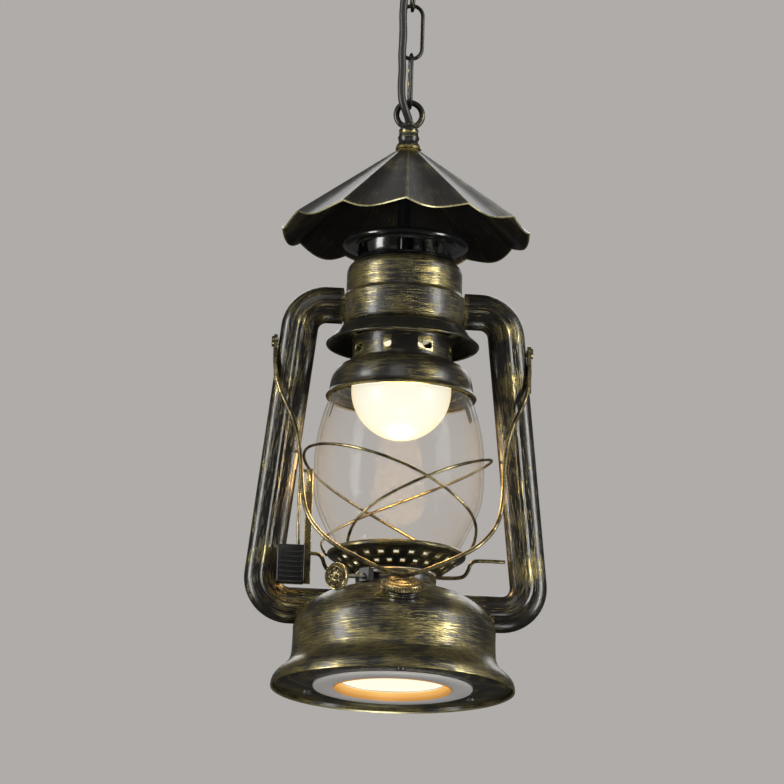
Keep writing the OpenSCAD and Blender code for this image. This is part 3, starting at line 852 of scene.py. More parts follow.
class LANTERN_OT_stage(bpy.types.Operator):
    """Adds the camera, the floor, the plain surroundings and the soft lights"""

    bl_idname = "lantern.stage"
    bl_label = "Stage"

    def execute(self, context):
        camera = link("camera", bpy.data.cameras.new("camera"))
        camera.data.sensor_width = SENSOR
        camera.data.lens = SENSOR * VIEW_DISTANCE / VIEW_HEIGHT
        camera.data.clip_end = 100
        target = place(*LOOK_AT)
        aimed(camera, target + direction(VIEW_TURN, VIEW_RISE) * VIEW_DISTANCE, target, VIEW_ROLL)
        context.scene.camera = camera

        floor_mesh = bpy.data.meshes.new("floor")
        corners = [(FLOOR_REACH * x, FLOOR_REACH * y, FLOOR_HEIGHT)
                   for x, y in ((-1, -1), (1, -1), (1, 1), (-1, 1))]
        floor_mesh.from_pydata(corners, [], [(0, 1, 2, 3)])
        floor = link("floor", floor_mesh)
        floor.data.materials.append(lit_paper("floor_paper"))

        soft_light("left_softbox", -66, 4, 1.5, (0.4, 1.5), 24, (1.0, 0.99, 0.96))
        soft_light("right_softbox", 60, 6, 1.5, (0.4, 1.5), 24, (1.0, 0.99, 0.96))
        soft_light("front_fill", -12, 34, 2.6, (1.0, 0.7), 5)
        soft_light("low_fill", 14, -58, 2.2, (1.1, 0.7), 14)
        soft_light("back_light", 168, 34, 2.4, (2.2, 1.2), 15)

        context.scene.view_settings.view_transform = "Standard"

        # Warm light round the bulb, for the arms and the burner
        glow = link("bulb_light", bpy.data.lights.new("bulb_light", "POINT"))
        glow.data.energy, glow.data.shadow_soft_size = 0.45, 0.02
        glow.data.color = (1.0, 0.62, 0.24)
        glow.location = place(*WARM_LIGHT)
        glow.visible_camera = False

        world = bpy.data.worlds.new("surroundings")
        context.scene.world = world
        world.use_nodes = True
        bench = Bench(world.node_tree)
        seen = bench.add("ShaderNodeLightPath", out=0)
        wall = tuple(colours().backdrop)
        dim = tuple(c * ROOM_DIM for c in wall[:3]) + (1,)
        background = world.node_tree.nodes["Background"]
        bench.plug(bench.mix(seen, dim, wall), background.inputs["Color"])
        return {"FINISHED"}


# ---------------------------------------------------------------- cord and chain

# The supply cord's route, in mm from the lantern's foot: up from the stem to the ceiling rose
CORD_ROUTE = [
    (0, 0, 399), (0, 0, 405), (0, -0.3, 409), (-1.4, -2.8, 413), (-3.8, -6, 417.5),
    (-6, -7.4, 423.5), (-6.8, -7, 434), (-6.4, -6.2, 446), (-6.9, -5.9, 458), (-6.4, -6.1, 472),
    (-7, -5.9, 486), (-6.6, -6.1, 500), (-7.2, -6.5, 513), (-9, -7.2, 524), (-12.2, -8.4, 533),
    (-13.8, -8.95, 539), (-14, -9, 544), (-14, -9, 552), (-14, -9, 561),
]
CORD_EXIT = 1                     # the route's point at the mouth of the stem


class LANTERN_OT_cord(bpy.types.Operator):
    """Adds the supply cord, from the stem to the ceiling rose"""

    bl_idname = "lantern.cord"
    bl_label = "Supply Cord"

    def execute(self, context):
        route = smooth_path([place(*p) for p in CORD_ROUTE], 4)
        sides, radius = 20, sizes().cord / 2
        rings, lengths, travel = [], [], 0.0
        for i, spot in enumerate(route):
            along = (route[min(i + 1, len(route) - 1)] - route[max(i - 1, 0)]).normalized()
            side = along.cross(Vector((0.31, 0.9, 0.3))).normalized()
            up = along.cross(side)
            travel += (spot - route[max(i - 1, 0)]).length
            lengths.append(travel)
            rings.append([
                spot + radius * (math.cos(2 * math.pi * k / sides) * side
                                 + math.sin(2 * math.pi * k / sides) * up)
                for k in range(sides)])
        around = [radius * 2 * math.pi * k / sides for k in range(sides + 1)]
        cord = link("supply_cord_jacket", grid_mesh("supply_cord_jacket", rings, uv=(lengths, around)))
        crisp(cord)
        cord.data.materials.append(cord_jacket())
        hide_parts("supply_cord")
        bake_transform(cord)
        length = sum((b - a).length for a, b in zip(route, route[1:]))
        tuple(place(*CORD_ROUTE[CORD_EXIT]))
        return {"FINISHED"}


def link_loop(node, flat_in_x):
    """The middle line of a chain link, from its CAD box."""
    low, high = (Vector(v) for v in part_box(node))
    wire_r = ((high - low).y if flat_in_x else (high - low).x) / 2
    width = ((high - low).x if flat_in_x else (high - low).y) / 2 - wire_r
    middle = (low + high) / 2
    rise = (high.z - low.z) / 2 - wire_r - width
    points = []
    for centre, start in ((rise, 0), (-rise, 180)):
        for u, v in arc((0, centre), width, start, start + 180, 16):
            side = Vector((u, 0, v)) if flat_in_x else Vector((0, u, v))
            points.append(middle + side)
    return points, wire_r


class LANTERN_OT_chain(bpy.types.Operator):
    """Adds the chain's links, the hang loop with its eye, and the roof collar"""

    bl_idname = "lantern.chain"
    bl_label = "Chain and Hang Loop"

    def execute(self, context):
        brass = rubbed_brass(ALL_OVER, 0.34, 0.14)
        for node, body, flat in (("chain_link_1", "bottom_link", False),
                                 ("chain_link_2", "middle_link", True),
                                 ("chain_link_3", "top_link", False)):
            points, radius = link_loop(node, flat)
            made = wire(node + "_wire", points, radius, brass, closed=True, sides=18)
            dress(made, brass, body, node)

        ring_r, wire_r = 9.15, 2.15
        centre_z = (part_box("hang_loop")[1][2] - FOOT) / MM - ring_r - wire_r
        # The loop stops on both sides of the cord's hole
        eye = [place(x, 0, centre_z + z) for x, z in arc((0, 0), ring_r, -64, 244, 44)]
        ring = wire("eye", eye, wire_r * MM, brass, sides=20)
        socket_path = [(3.1, 401.9), (6.9, 401.9), (7.1, 403.4), (6.2, 404.4), (5.6, 406.2),
                       (5.5, 407.6), (4.4, 408.7), (3.1, 408.7)]
        socket = turned("socket", eased(socket_path + socket_path[:1], 0.4, 2)[:-1], 48)
        loop = crisp(joined("hang_loop_eye", [ring, socket]))
        dress(worn(loop), brass, "lantern", "hang_loop")

        collar_path = [(6.05, 389.2), (9.2, 389.2), (9, 391), (7.4, 393.4), (7.1, 396), (7.6, 397),
                       (7.6, 398.2), (7.1, 399.2), (7, 401.9), (6.05, 401.9)]
        collar = crisp(turned("roof_collar_cup", collar_path, 64))
        dress(worn(collar), rubbed_brass(TURNED, 0.34, 0.12), "lantern", "roof_collar")
        return {"FINISHED"}


# ---------------------------------------------------------------- roof and crown

ROOF_PEAK = 394.0                 # height of the roof's cone at the axis, in mm
ROOF_TURN = math.radians(-95)     # where the first ridge stands
ROOF_SPOTS = [6.6, 12, 20, 28, 36, 44, 52, 60, 68, 76, 82, 86, 87.5]  # the sheet's rings, in mm
FLUTE_SPOTS = 14                  # points across one flute
FLUTE_LEAN = 0.12                 # how much more a flute bellies on one side, as folded sheet does
CROWN_WINDOWS, CROWN_TURN = 4, 11  # windows in the crown, and the first one's turn in degrees


def roof_tree():
    """Pleats a flat round sheet into a fluted cone: straight sharp ridges, sagging flutes."""
    bench, ends = tree_with("lantern_roof", [
        ("Flutes", "NodeSocketFloat", 12.0), ("Sag", "NodeSocketFloat", 0.0056),
        ("Peak", "NodeSocketFloat", 0.0), ("Rim", "NodeSocketFloat", 0.0),
        ("Radius", "NodeSocketFloat", 0.0875), ("Turn", "NodeSocketFloat", 0.0),
        ("Finish", "NodeSocketMaterial", None)])
    x, y, _ = bench.parts(bench.add("GeometryNodeInputPosition"))
    radius = bench.maths("SQRT", x * x + y * y)
    share = radius / ends["Radius"]
    angle = bench.maths("ARCTAN2", y, x) - ends["Turn"]
    across = bench.maths("FRACT", angle * ends["Flutes"] / (2 * math.pi) + 24.0)
    sag = bench.maths("SINE", across * math.pi)
    lean = bench.maths("SINE", across * math.pi * 2) * FLUTE_LEAN
    height = ends["Peak"] + (ends["Rim"] - ends["Peak"]) * share - ends["Sag"] * share * (sag + lean)
    lifted = bench.add("GeometryNodeSetPosition", None, {
        "Geometry": ends["Geometry"], "Position": bench.vector(x, y, height)})
    return close_tree(bench, lifted, ends)


class LANTERN_OT_roof(bpy.types.Operator):
    """Adds the fluted roof"""

    bl_idname = "lantern.roof"
    bl_label = "Fluted Roof"

    def execute(self, context):
        low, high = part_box("canopy_roof")
        flutes, sheet = sizes().flutes, sizes().sheet
        rings = []
        for i in range(flutes * FLUTE_SPOTS):
            a = ROOF_TURN + 2 * math.pi * i / (flutes * FLUTE_SPOTS)
            rings.append([Vector((r * MM * math.cos(a), r * MM * math.sin(a), 0))
                          for r in ROOF_SPOTS])
        finish = rubbed_brass(RADIAL, 0.36, 0.04)
        flat = link("sheet", grid_mesh("sheet", rings, close_rings=True, close_section=False))
        pleated = with_tree(flat, roof_tree(), {
            "Flutes": float(flutes), "Sag": sizes().flute_sag, "Peak": ROOF_PEAK * MM + FOOT,
            "Rim": low[2] + sheet + sizes().flute_sag, "Radius": (high[0] - low[0]) / 2,
            "Turn": ROOF_TURN, "Finish": finish}, "pleated_sheet")
        roof = upright(thickened(pleated, sheet * 0.8, -1.0, "canopy_sheet"))
        dress(worn(crisp(roof, math.radians(24)), 0.7), finish, "lantern", "canopy_roof")
        return {"FINISHED"}


class LANTERN_OT_crown(bpy.types.Operator):
    """Adds the vented crown and the lip over it"""

    bl_idname = "lantern.crown"
    bl_label = "Vented Crown"

    def execute(self, context):
        lip_path = [(6.1, 317.3), (37, 317.3), (42.2, 316.8), (44, 317.8), (44.4, 319.2),
                    (43.8, 320.8), (42.2, 321.6), (39.5, 321.4), (37, 319.6), (6.1, 319.2)]
        lip = crisp(turned("crown_lip_plate", lip_path))
        dress(worn(lip, 0.5), gloss_black(), "lantern", "crown_lip")

        wall_path = [(33.4, 304.9), (35, 304.9), (35.9, 305.7), (35.2, 306.7), (35, 308),
                     (35, 315.4), (36, 317.1), (33.4, 317.1)]
        wall = turned("crown_vent_ring", wall_path)
        windows = []
        for i in range(CROWN_WINDOWS):
            window = block("window", (-20, -40, 307.4), (20, -24, 315.8), 3.2)
            windows.append(moved(window, round_the_lantern(i * 360 / CROWN_WINDOWS + CROWN_TURN)))
        crown = crisp(cut(wall, windows))
        dress(worn(crown, 0.4), gloss_black(), "lantern", "crown_vent")
        return {"FINISHED"}


# ---------------------------------------------------------------- tank, skirt, bell

BELL_HOLES = 8


class LANTERN_OT_head(bpy.types.Operator):
    """Adds the upper tank, the drip skirt and the globe bell"""

    bl_idname = "lantern.head"
    bl_label = "Upper Tank, Skirt and Bell"

    def execute(self, context):
        tank_path = [
            (37, 258.3), (39.6, 258.3), (41, 259.2), (42, 261.4), (42.6, 264.4),
            (42.8, 269), (42.7, 276.5), (43, 278.4), (42.7, 280.2), (41.2, 281.2), (40.5, 282.6),
            (40.6, 286), (40.5, 294.5),
        ] + curve((40.5, 297), (40.4, 301.5), (37.5, 304.6), (33, 304.8), 8) + [(6.2, 304.8)]
        tank = turned("upper_tank_drum", walled(eased(tank_path, 0.8, 3), 1.1))
        dress(worn(crisp(tank)), rubbed_brass(TURNED, 0.6, 0.14), "lantern", "upper_tank")

        skirt_path = [(52.2, 245.3), (53.4, 245.3), (53.9, 246.2), (53.3, 247.2), (50, 250),
                      (45.2, 255.2), (43.8, 257.4), (37.2, 257.5)]
        skirt = turned("drip_skirt_cone", walled(eased(skirt_path, 1.2, 3), 0.8))
        dress(worn(crisp(skirt), 1.3), rubbed_brass(TURNED, 0.24, 0.16), "lantern", "drip_skirt")

        bell_path = [(51.6, 207.4), (52.4, 207.6), (52.9, 208.6), (52.4, 209.7), (51.4, 210.4),
                     (50.9, 211.4)] + curve((50.4, 213.5), (49.4, 224.5), (45.6, 229.4),
                                            (39.2, 231.2), 14) + [
            (36.4, 231.8), (35.3, 232.8), (35, 234.4), (35, 247.8), (35.6, 249), (35.2, 250)]
        bell = turned("globe_bell_cup", walled(bell_path, 0.9))
        # Slots and round holes by turns
        holes = []
        for i in range(BELL_HOLES):
            half = 5.8 if i % 2 == 0 else 2.9
            hole = block("hole", (-half, -40, 237.2), (half, -30, 242.8), 2.7)
            holes.append(moved(hole, round_the_lantern((i + 0.5) * 360 / BELL_HOLES)))
        bell = crisp(cut(bell, holes))
        dress(worn(bell), rubbed_brass(TURNED, 0.46, 0.16), "globe_carriage", "globe_bell")
        return {"FINISHED"}


# ---------------------------------------------------------------- globe

DISH_SLOTS = {3: 0, 6: 3}         # which bands of the dish are slotted, and each one's first slot
SLOT_PITCH, SLOT_WIDTH = 6, 2     # in faces round the dish
DISH_WALL, LEAF_WALL = 0.0008, 0.0004
LEAF_HALF, LEAF_TIP = 10.0, 7.6   # half a leaf spring's width in degrees, at its ring and tip


def pierced_sheet(name, path, steps):
    """A turned sheet with the dish's slots left out of it."""
    made = bmesh.new()
    rings = []
    for i in range(steps):
        a = 2 * math.pi * i / steps
        rings.append([made.verts.new(place(r * math.cos(a), r * math.sin(a), z)) for r, z in path])
    for i in range(steps):
        for k in range(len(path) - 1):
            if k in DISH_SLOTS and (i + DISH_SLOTS[k]) % SLOT_PITCH < SLOT_WIDTH:
                continue
            j = (i + 1) % steps
            made.faces.new((rings[i][k], rings[j][k], rings[j][k + 1], rings[i][k + 1]))
    mesh = bpy.data.meshes.new(name)
    made.to_mesh(mesh)
    made.free()
    return link(name, mesh)


def leaf_spring(side):
    """One leaf spring on the side at that angle, narrower towards its tip."""
    strip = [(50, 193.7), (49, 197), (47.8, 201.5), (46.6, 206), (46.2, 214)]
    rings = []
    for i in range(13):
        share = i / 6 - 1
        ring = []
        for r, z in strip:
            widening = min(1, (z - strip[0][1]) / 8)
            a = math.radians(side + share * (LEAF_TIP + (LEAF_HALF - LEAF_TIP) * widening))
            ring.append(place(r * math.cos(a), r * math.sin(a), z))
        rings.append(ring)
    leaf = link("leaf", grid_mesh("leaf", rings, close_section=False))
    return thickened(leaf, LEAF_WALL, 0.0, "leaf")


class LANTERN_OT_globe(bpy.types.Operator):
    """Adds the glass, its gallery dish and spring fingers, and the bulb"""

    bl_idname = "lantern.globe"
    bl_label = "Globe and Bulb"

    def execute(self, context):
        barrel = [(42.6, 95.1)] + curve((44, 101), (51, 118), (59.5, 126), (59.5, 147), 26) \
            + curve((59.5, 158), (59.5, 178), (55, 194), (50, 207), 24)
        glass_path = walled(barrel, sizes().glass / MM)
        glass = turned("glass_globe_barrel", glass_path)
        dress(crisp(glass, math.radians(60)), clear_glass(), "globe_carriage", "glass_globe")

        ball = [(0.0, 178.5)] + arc((0, 213.5), 35, -88, 54, 40) \
            + [(17.2, 243.5), (14.6, 246.4), (13.6, 247.4), (0.0, 247.4)]
        bulb = turned("led_bulb_globe", ball, 96)
        dress(crisp(bulb), glowing("bulb_glow", colours().bulb_power, 1.1), "bulb", "led_bulb")

        dish_path = [(28, 82.6), (29.6, 82.7), (31.4, 83.6), (33.4, 85.0), (35.2, 86.4),
                     (37.2, 87.9), (39.4, 89.6), (41.4, 91.1), (43.6, 92.8), (45.4, 94), (46.6, 94.3),
                     (47.4, 94.9), (47.6, 95.8), (47.1, 96.5), (46.3, 96.4)]
        sheet = pierced_sheet("dish_sheet", dish_path, 144)
        dish = upright(thickened(sheet, DISH_WALL, 1.0, "gallery_dish_sheet"))
        dress(worn(crisp(dish)), rubbed_brass(TURNED, 0.36, 0.16), "globe_carriage", "gallery_dish")

        # A ring inside the bell with a leaf spring at each side
        leaves = [leaf_spring(side) for side in (0, 180)]
        band = turned("band", walled([(46.2, 213.6), (46.4, 217), (47, 222)], 0.45))
        fingers = upright(joined("spring_finger_ring", leaves + [band]))
        dress(worn(crisp(fingers)), rubbed_brass(ALL_OVER, 0.3, 0.1), "globe_carriage",
              "spring_fingers")
        return {"FINISHED"}


# ---------------------------------------------------------------- wires

GUARD_TURN = 12.5                 # degrees from the arms to the guard's own axis
GUARD_HALF = 150                  # degrees from a guard wire's highest point to its foot
GUARD_FOOT, GUARD_RISE = 97, 69.5
GUARD_RADIUS, GUARD_SWELL = 50, 14.5
GUARD_APART = 2.2                 # how far the outer guard wire stands off the inner one


def guard_path(side, radius_more):
    """One guard wire: from the dish's rim, up over its high side and down again."""
    out = []
    for i in range(-40, 41):
        turn = i * GUARD_HALF / 40
        rise = GUARD_RISE * (1 - (abs(turn) / GUARD_HALF) ** 1.8)
        z = GUARD_FOOT + rise
        radius = GUARD_RADIUS + GUARD_SWELL * math.sin(math.radians(90 * min(1, rise / 26))) \
            + radius_more
        a = math.radians(GUARD_TURN + side * 90 - 90 + turn)
        out.append(place(radius * math.cos(a), radius * math.sin(a), z))
    return out


BAIL_PIVOT = (89.2, 244.8)        # how far out and how high the bail's pins stand
BAIL_LEAN = 18.9                  # degrees that the bail hangs out from upright
BAIL_DROP = 185.2
BAIL_WIRE, LIFT_WIRE, LEVER_WIRE = 0.0015, 0.00135, 0.0012  # radius of each wire, in metres
TONGUE_HALF = 1.1                 # half the thickness of the bail's flattened ends
# Half of the bail's wire, from its pin down to its middle, as (across, up) from the pins
BAIL_HALF = [
    (89.3, -5), (89.3, -18), (88, -30), (85.2, -41), (81, -51.5), (76.8, -62.5), (73.6, -75),
    (71.8, -88), (70.8, -100), (70.2, -112), (69.2, -125), (66.6, -138), (60.6, -150),
    (50.5, -161), (37.8, -169.5), (22, -178), (8.5, -183.8), (0, -BAIL_DROP),
]


class LANTERN_OT_wires(bpy.types.Operator):
    """Adds the guard wires, the bail and the globe lift's wires"""

    bl_idname = "lantern.wires"
    bl_label = "Guard, Bail and Lift Wires"

    def execute(self, context):
        radius = sizes().guard_wire / 2
        brass = wire_brass(0.06)
        guards = [wire("guard", guard_path(side, more), radius, brass)
                  for side, more in ((-1, GUARD_APART), (1, 0.0))]
        dress(worn_again(joined("guard_wire_pair", guards)), brass, "globe_carriage", "guard_wires")

        points = BAIL_HALF + [(-x, z) for x, z in BAIL_HALF[-2::-1]]
        swing = Matrix.Translation(place(0, 0, BAIL_PIVOT[1])) \
            @ Matrix.Rotation(math.radians(-BAIL_LEAN), 4, "X")
        path = smooth_path([Vector((x * MM, 0, z * MM)) for x, z in points], 5)
        handle = wire("handle", path, BAIL_WIRE, brass, sides=16)
        bail = crisp(joined("bail_wire", [handle, bail_tongue(-1), bail_tongue(1)]))
        moved(bail, swing)
        dress(worn_again(bail), brass, "bail", "bail_handle")

        route = [(28.6, 81.2), (36, 81.2), (43, 81.6), (47.6, 83.2), (50.2, 87), (51.8, 91.4),
                 (54.6, 94), (60, 94.5), (68, 94.6), (76, 94.5)]
        paths = [smooth_path([place(side * x, 0, z) for x, z in route], 5) for side in (-1, 1)]
        lift = [wire("lift", path, LIFT_WIRE, brass) for path in paths]
        dress(worn_again(joined("lift_wire_pair", lift)), brass, "globe_carriage", "lift_wire")
        return {"FINISHED"}


def worn_again(obj):
    """Works the wear out again, for a piece that was joined out of worn ones."""
    if "wear" in obj.data.attributes:
        obj.data.attributes.remove(obj.data.attributes["wear"])
    return worn(obj)


def bail_tongue(side):
    """The flattened end of the bail: a teardrop plate with a round eye over its pin."""
    outline = arc((0, 0), 5.4, -52, 232, 28) + [
        (-3.1, -9), (-2.3, -18), (-1.6, -27), (0, -33), (1.6, -27), (2.3, -18), (3.1, -9)]
    made = bmesh.new()
    eye = arc((0, 0), 2.65, -52, 308, len(outline))[:-1]
    rings = []
    for x, loop in ((-TONGUE_HALF, outline), (TONGUE_HALF, outline),
                    (TONGUE_HALF, eye), (-TONGUE_HALF, eye)):
        rings.append([made.verts.new(Vector((side * (BAIL_PIVOT[0] + x), u, v)) * MM)
                      for u, v in loop])
    count = len(outline)
    for i in range(4):
        for k in range(count):
            j, m = (i + 1) % 4, (k + 1) % count
            made.faces.new((rings[i][k], rings[i][m], rings[j][m], rings[j][k]))
    bmesh.ops.recalc_face_normals(made, faces=made.faces)
    mesh = bpy.data.meshes.new("tongue")
    made.to_mesh(mesh)
    made.free()
    return link("tongue", mesh)


# ---------------------------------------------------------------- side arms

ARM_HALF_WIDTH, ARM_HALF_DEPTH = 13.0, 8.0
BEND = 19.0                       # radius of the middle line in both bends
HEAD = (53.8, 254.0)              # centre of the upper bend
LEG_LEAN = 6.4
ARM_TOP, ARM_FOOT = 273.0, 57.0
ARM_HEAD_RUN = (42.4, 46, 50)     # the middle line's points from the tank to the upper bend
ARM_FOOT_RUN = (70, 64, 56, 48, 40)         # and from the lower bend in to the fount
HEAD_SPOTS, LEG_SPOTS, HEEL_SPOTS = 14, 24, 16  # spans along the bends and the leg between them
TANK_SIDE = 42.9                  # radius at which the arms end on the upper tank
LEAST_SHOULDER = 30.0             # no arm reaches further in than this over the fount


def arm_path():
    """The arm's middle line from the tank to the shoulder: place, and the turn of its outer side."""
    lean = math.radians(LEG_LEAN)
    start = (HEAD[0] + BEND * math.cos(lean), HEAD[1] + BEND * math.sin(lean))
    foot_z = ARM_FOOT + BEND
    run = (start[1] - foot_z - BEND * math.sin(lean)) / math.cos(lean)
    end = (start[0] + run * math.sin(lean), start[1] - run * math.cos(lean))
    foot = (end[0] - BEND * math.cos(lean), end[1] - BEND * math.sin(lean))
    line = [((x, ARM_TOP), 90.0) for x in ARM_HEAD_RUN]
    for a in [90 - i * (90 - LEG_LEAN) / HEAD_SPOTS for i in range(HEAD_SPOTS + 1)]:
        t = math.radians(a)
        line.append(((HEAD[0] + BEND * math.cos(t), HEAD[1] + BEND * math.sin(t)), a))
    for i in range(1, LEG_SPOTS):
        share = i / LEG_SPOTS
        line.append(((start[0] + (end[0] - start[0]) * share,
                      start[1] + (end[1] - start[1]) * share), LEG_LEAN))
    for a in [LEG_LEAN - i * (90 + LEG_LEAN) / HEEL_SPOTS for i in range(HEEL_SPOTS + 1)]:
        t = math.radians(a)
        line.append(((foot[0] + BEND * math.cos(t), foot[1] + BEND * math.sin(t)), a))
    return line + [((x, ARM_FOOT), -90.0) for x in ARM_FOOT_RUN]


def arm_outline():
    """The arm's section: a flattened round, with the pressed seam bead on front and back."""
    side = []
    for i in range(-11, 12):
        a = math.radians(i * 7.2)
        side.append((ARM_HALF_WIDTH * math.cos(a) ** 0.78, ARM_HALF_DEPTH * math.sin(a)))
    half_bead = [(3.0, ARM_HALF_DEPTH * 0.985), (2.2, ARM_HALF_DEPTH + 0.1),
                 (1.4, ARM_HALF_DEPTH + 0.85), (0.5, ARM_HALF_DEPTH + 1.15)]
    bead = half_bead + [(-x, y) for x, y in reversed(half_bead)]
    far_side = [(-x, -y) for x, y in side]
    far_bead = [(-x, -y) for x, y in bead]
    return side + bead + far_side + far_bead


def travelled(path):
    """How far each point lies along the path, in metres."""
    out, run = [], 0.0
    for i, spot in enumerate(path):
        run += math.dist(spot, path[max(i - 1, 0)])
        out.append(run * MM)
    return out


def shoulder_radius(z):
    """Radius of the fount's outside at a height, just outside its face."""
    spots = [p for p in fount_path() if p[1] >= 26]
    for (r0, z0), (r1, z1) in zip(spots, spots[1:]):
        if z0 <= z <= z1:
            return r0 + (r1 - r0) * (z - z0) / max(z1 - z0, 1e-6) + 0.1
    return LEAST_SHOULDER


class LANTERN_OT_arms(bpy.types.Operator):
    """Adds the two side arms"""

    bl_idname = "lantern.arms"
    bl_label = "Side Arms"

    def execute(self, context):
        outline, line = arm_outline(), arm_path()
        around = travelled(outline + outline[:1])
        along = travelled([spot for spot, _ in line])
        finish = rubbed_brass(LENGTHWISE, 0.44, 0.22)
        for side, node in ((-1, "left_arm"), (1, "right_arm")):
            rings = []
            for i, ((x, z), turn) in enumerate(line):
                t = math.radians(turn)
                ring = []
                for u, v in outline:
                    px, pz = x + math.cos(t) * u, z + math.sin(t) * u
                    if i >= len(line) - len(ARM_FOOT_RUN):
                        inside = shoulder_radius(pz) ** 2 - v * v
                        px = max(px, math.sqrt(max(inside, LEAST_SHOULDER ** 2)))
                    if i == 0:
                        px = math.sqrt(TANK_SIDE ** 2 - v * v)
                    ring.append(place(side * px, v, pz))
                rings.append(ring)
            name = node + "_tube"
            arm = closed_up(link(name, grid_mesh(name, rings, uv=(along, around))))
            dress(worn(crisp(arm, math.radians(46))), finish, "lantern", node)
        return {"FINISHED"}


# ---------------------------------------------------------------- fount and burner


def fount_path():
    """Outside of the fount, from its foot's rim up to the burner neck, in mm."""
    flare = curve((85, 1.2), (84.4, 13.4), (72, 11.6), (71, 25), 18)
    shoulder = curve((70.5, 43), (68.3, 54.2), (52, 69.2), (29.5, 70.5), 22)
    return [(84.2, 0.1), (84.8, 0.4)] + flare + [(70.7, 30), (70.5, 36)] + shoulder


class LANTERN_OT_fount(bpy.types.Operator):
    """Adds the fount, the burner's neck and its small cone, with the bulb's light on it painted as a
    glow
    """

    bl_idname = "lantern.fount"
    bl_label = "Fount and Burner"

    def execute(self, context):
        tank = turned("base_tank_shell", walled(fount_path() + [(26, 70.5)], sizes().sheet / MM))
        dress(worn(crisp(tank)), rubbed_brass(TURNED, 0.64, 0.14), "lantern", "base_tank")

        neck_path = [(25, 70.8), (30.4, 70.8), (30.8, 71.8), (29.6, 73), (28.2, 73.8), (28, 77.4),
                     (28.4, 78.2), (28, 79), (28, 80.8), (27, 81.9), (24.5, 82.1)]
        neck = turned("burner_neck_ring", walled(eased(neck_path, 0.5, 2), 1.0))
        dress(worn(crisp(neck)), rubbed_brass(TURNED, 0.5, 0.14), "lantern", "burner_neck")

        cone_path = [(25, 82.9), (24.4, 84), (23.6, 86)] + curve((23.4, 90), (22, 99), (15, 104),
                                                                 (7, 106), 14)
        cone = turned("burner_cone_dome", walled(cone_path, 0.7))
        # The burner cone is no lamp: its glow is painted light from the bulb above it
        dress(crisp(cone), glowing("cone_glow", 0.62, 1.0), "lantern", "burner_cone")
        return {"FINISHED"}


# ---------------------------------------------------------------- controls

CAP_PLACE = (0.0, -56.5, 51.0)
CAP_LEAN = 28.0
KNOB_TURN = -42.0
KNOB_LEAN = 10.5                  # the wick shaft slopes down towards its knob
KNOB_ROOT = (0.0, -28.0, 75.5)
KNOB_REACH = 38.6
CAP_RIBS, KNOB_PETALS, KNOB_TEETH = 48, 8, 36
PAD_GRIPS, GRIP_PITCH = 6, 3.6


def cap_matrix():
    """From a piece's own Z axis to the filler's leaning axis."""
    return Matrix.Translation(place(*CAP_PLACE)) @ Matrix.Rotation(math.radians(CAP_LEAN), 4, "X")


def knob_matrix(reach):
    """From a piece's own Z axis to the wick shaft's axis, pointing out."""
    return Matrix.Translation((0, 0, FOOT)) \
        @ Matrix.Rotation(math.radians(KNOB_TURN), 4, "Z") \
        @ Matrix.Translation(Vector(KNOB_ROOT) * MM) \
        @ Matrix.Rotation(math.radians(90 + KNOB_LEAN), 4, "X") \
        @ Matrix.Translation((0, 0, reach * MM))


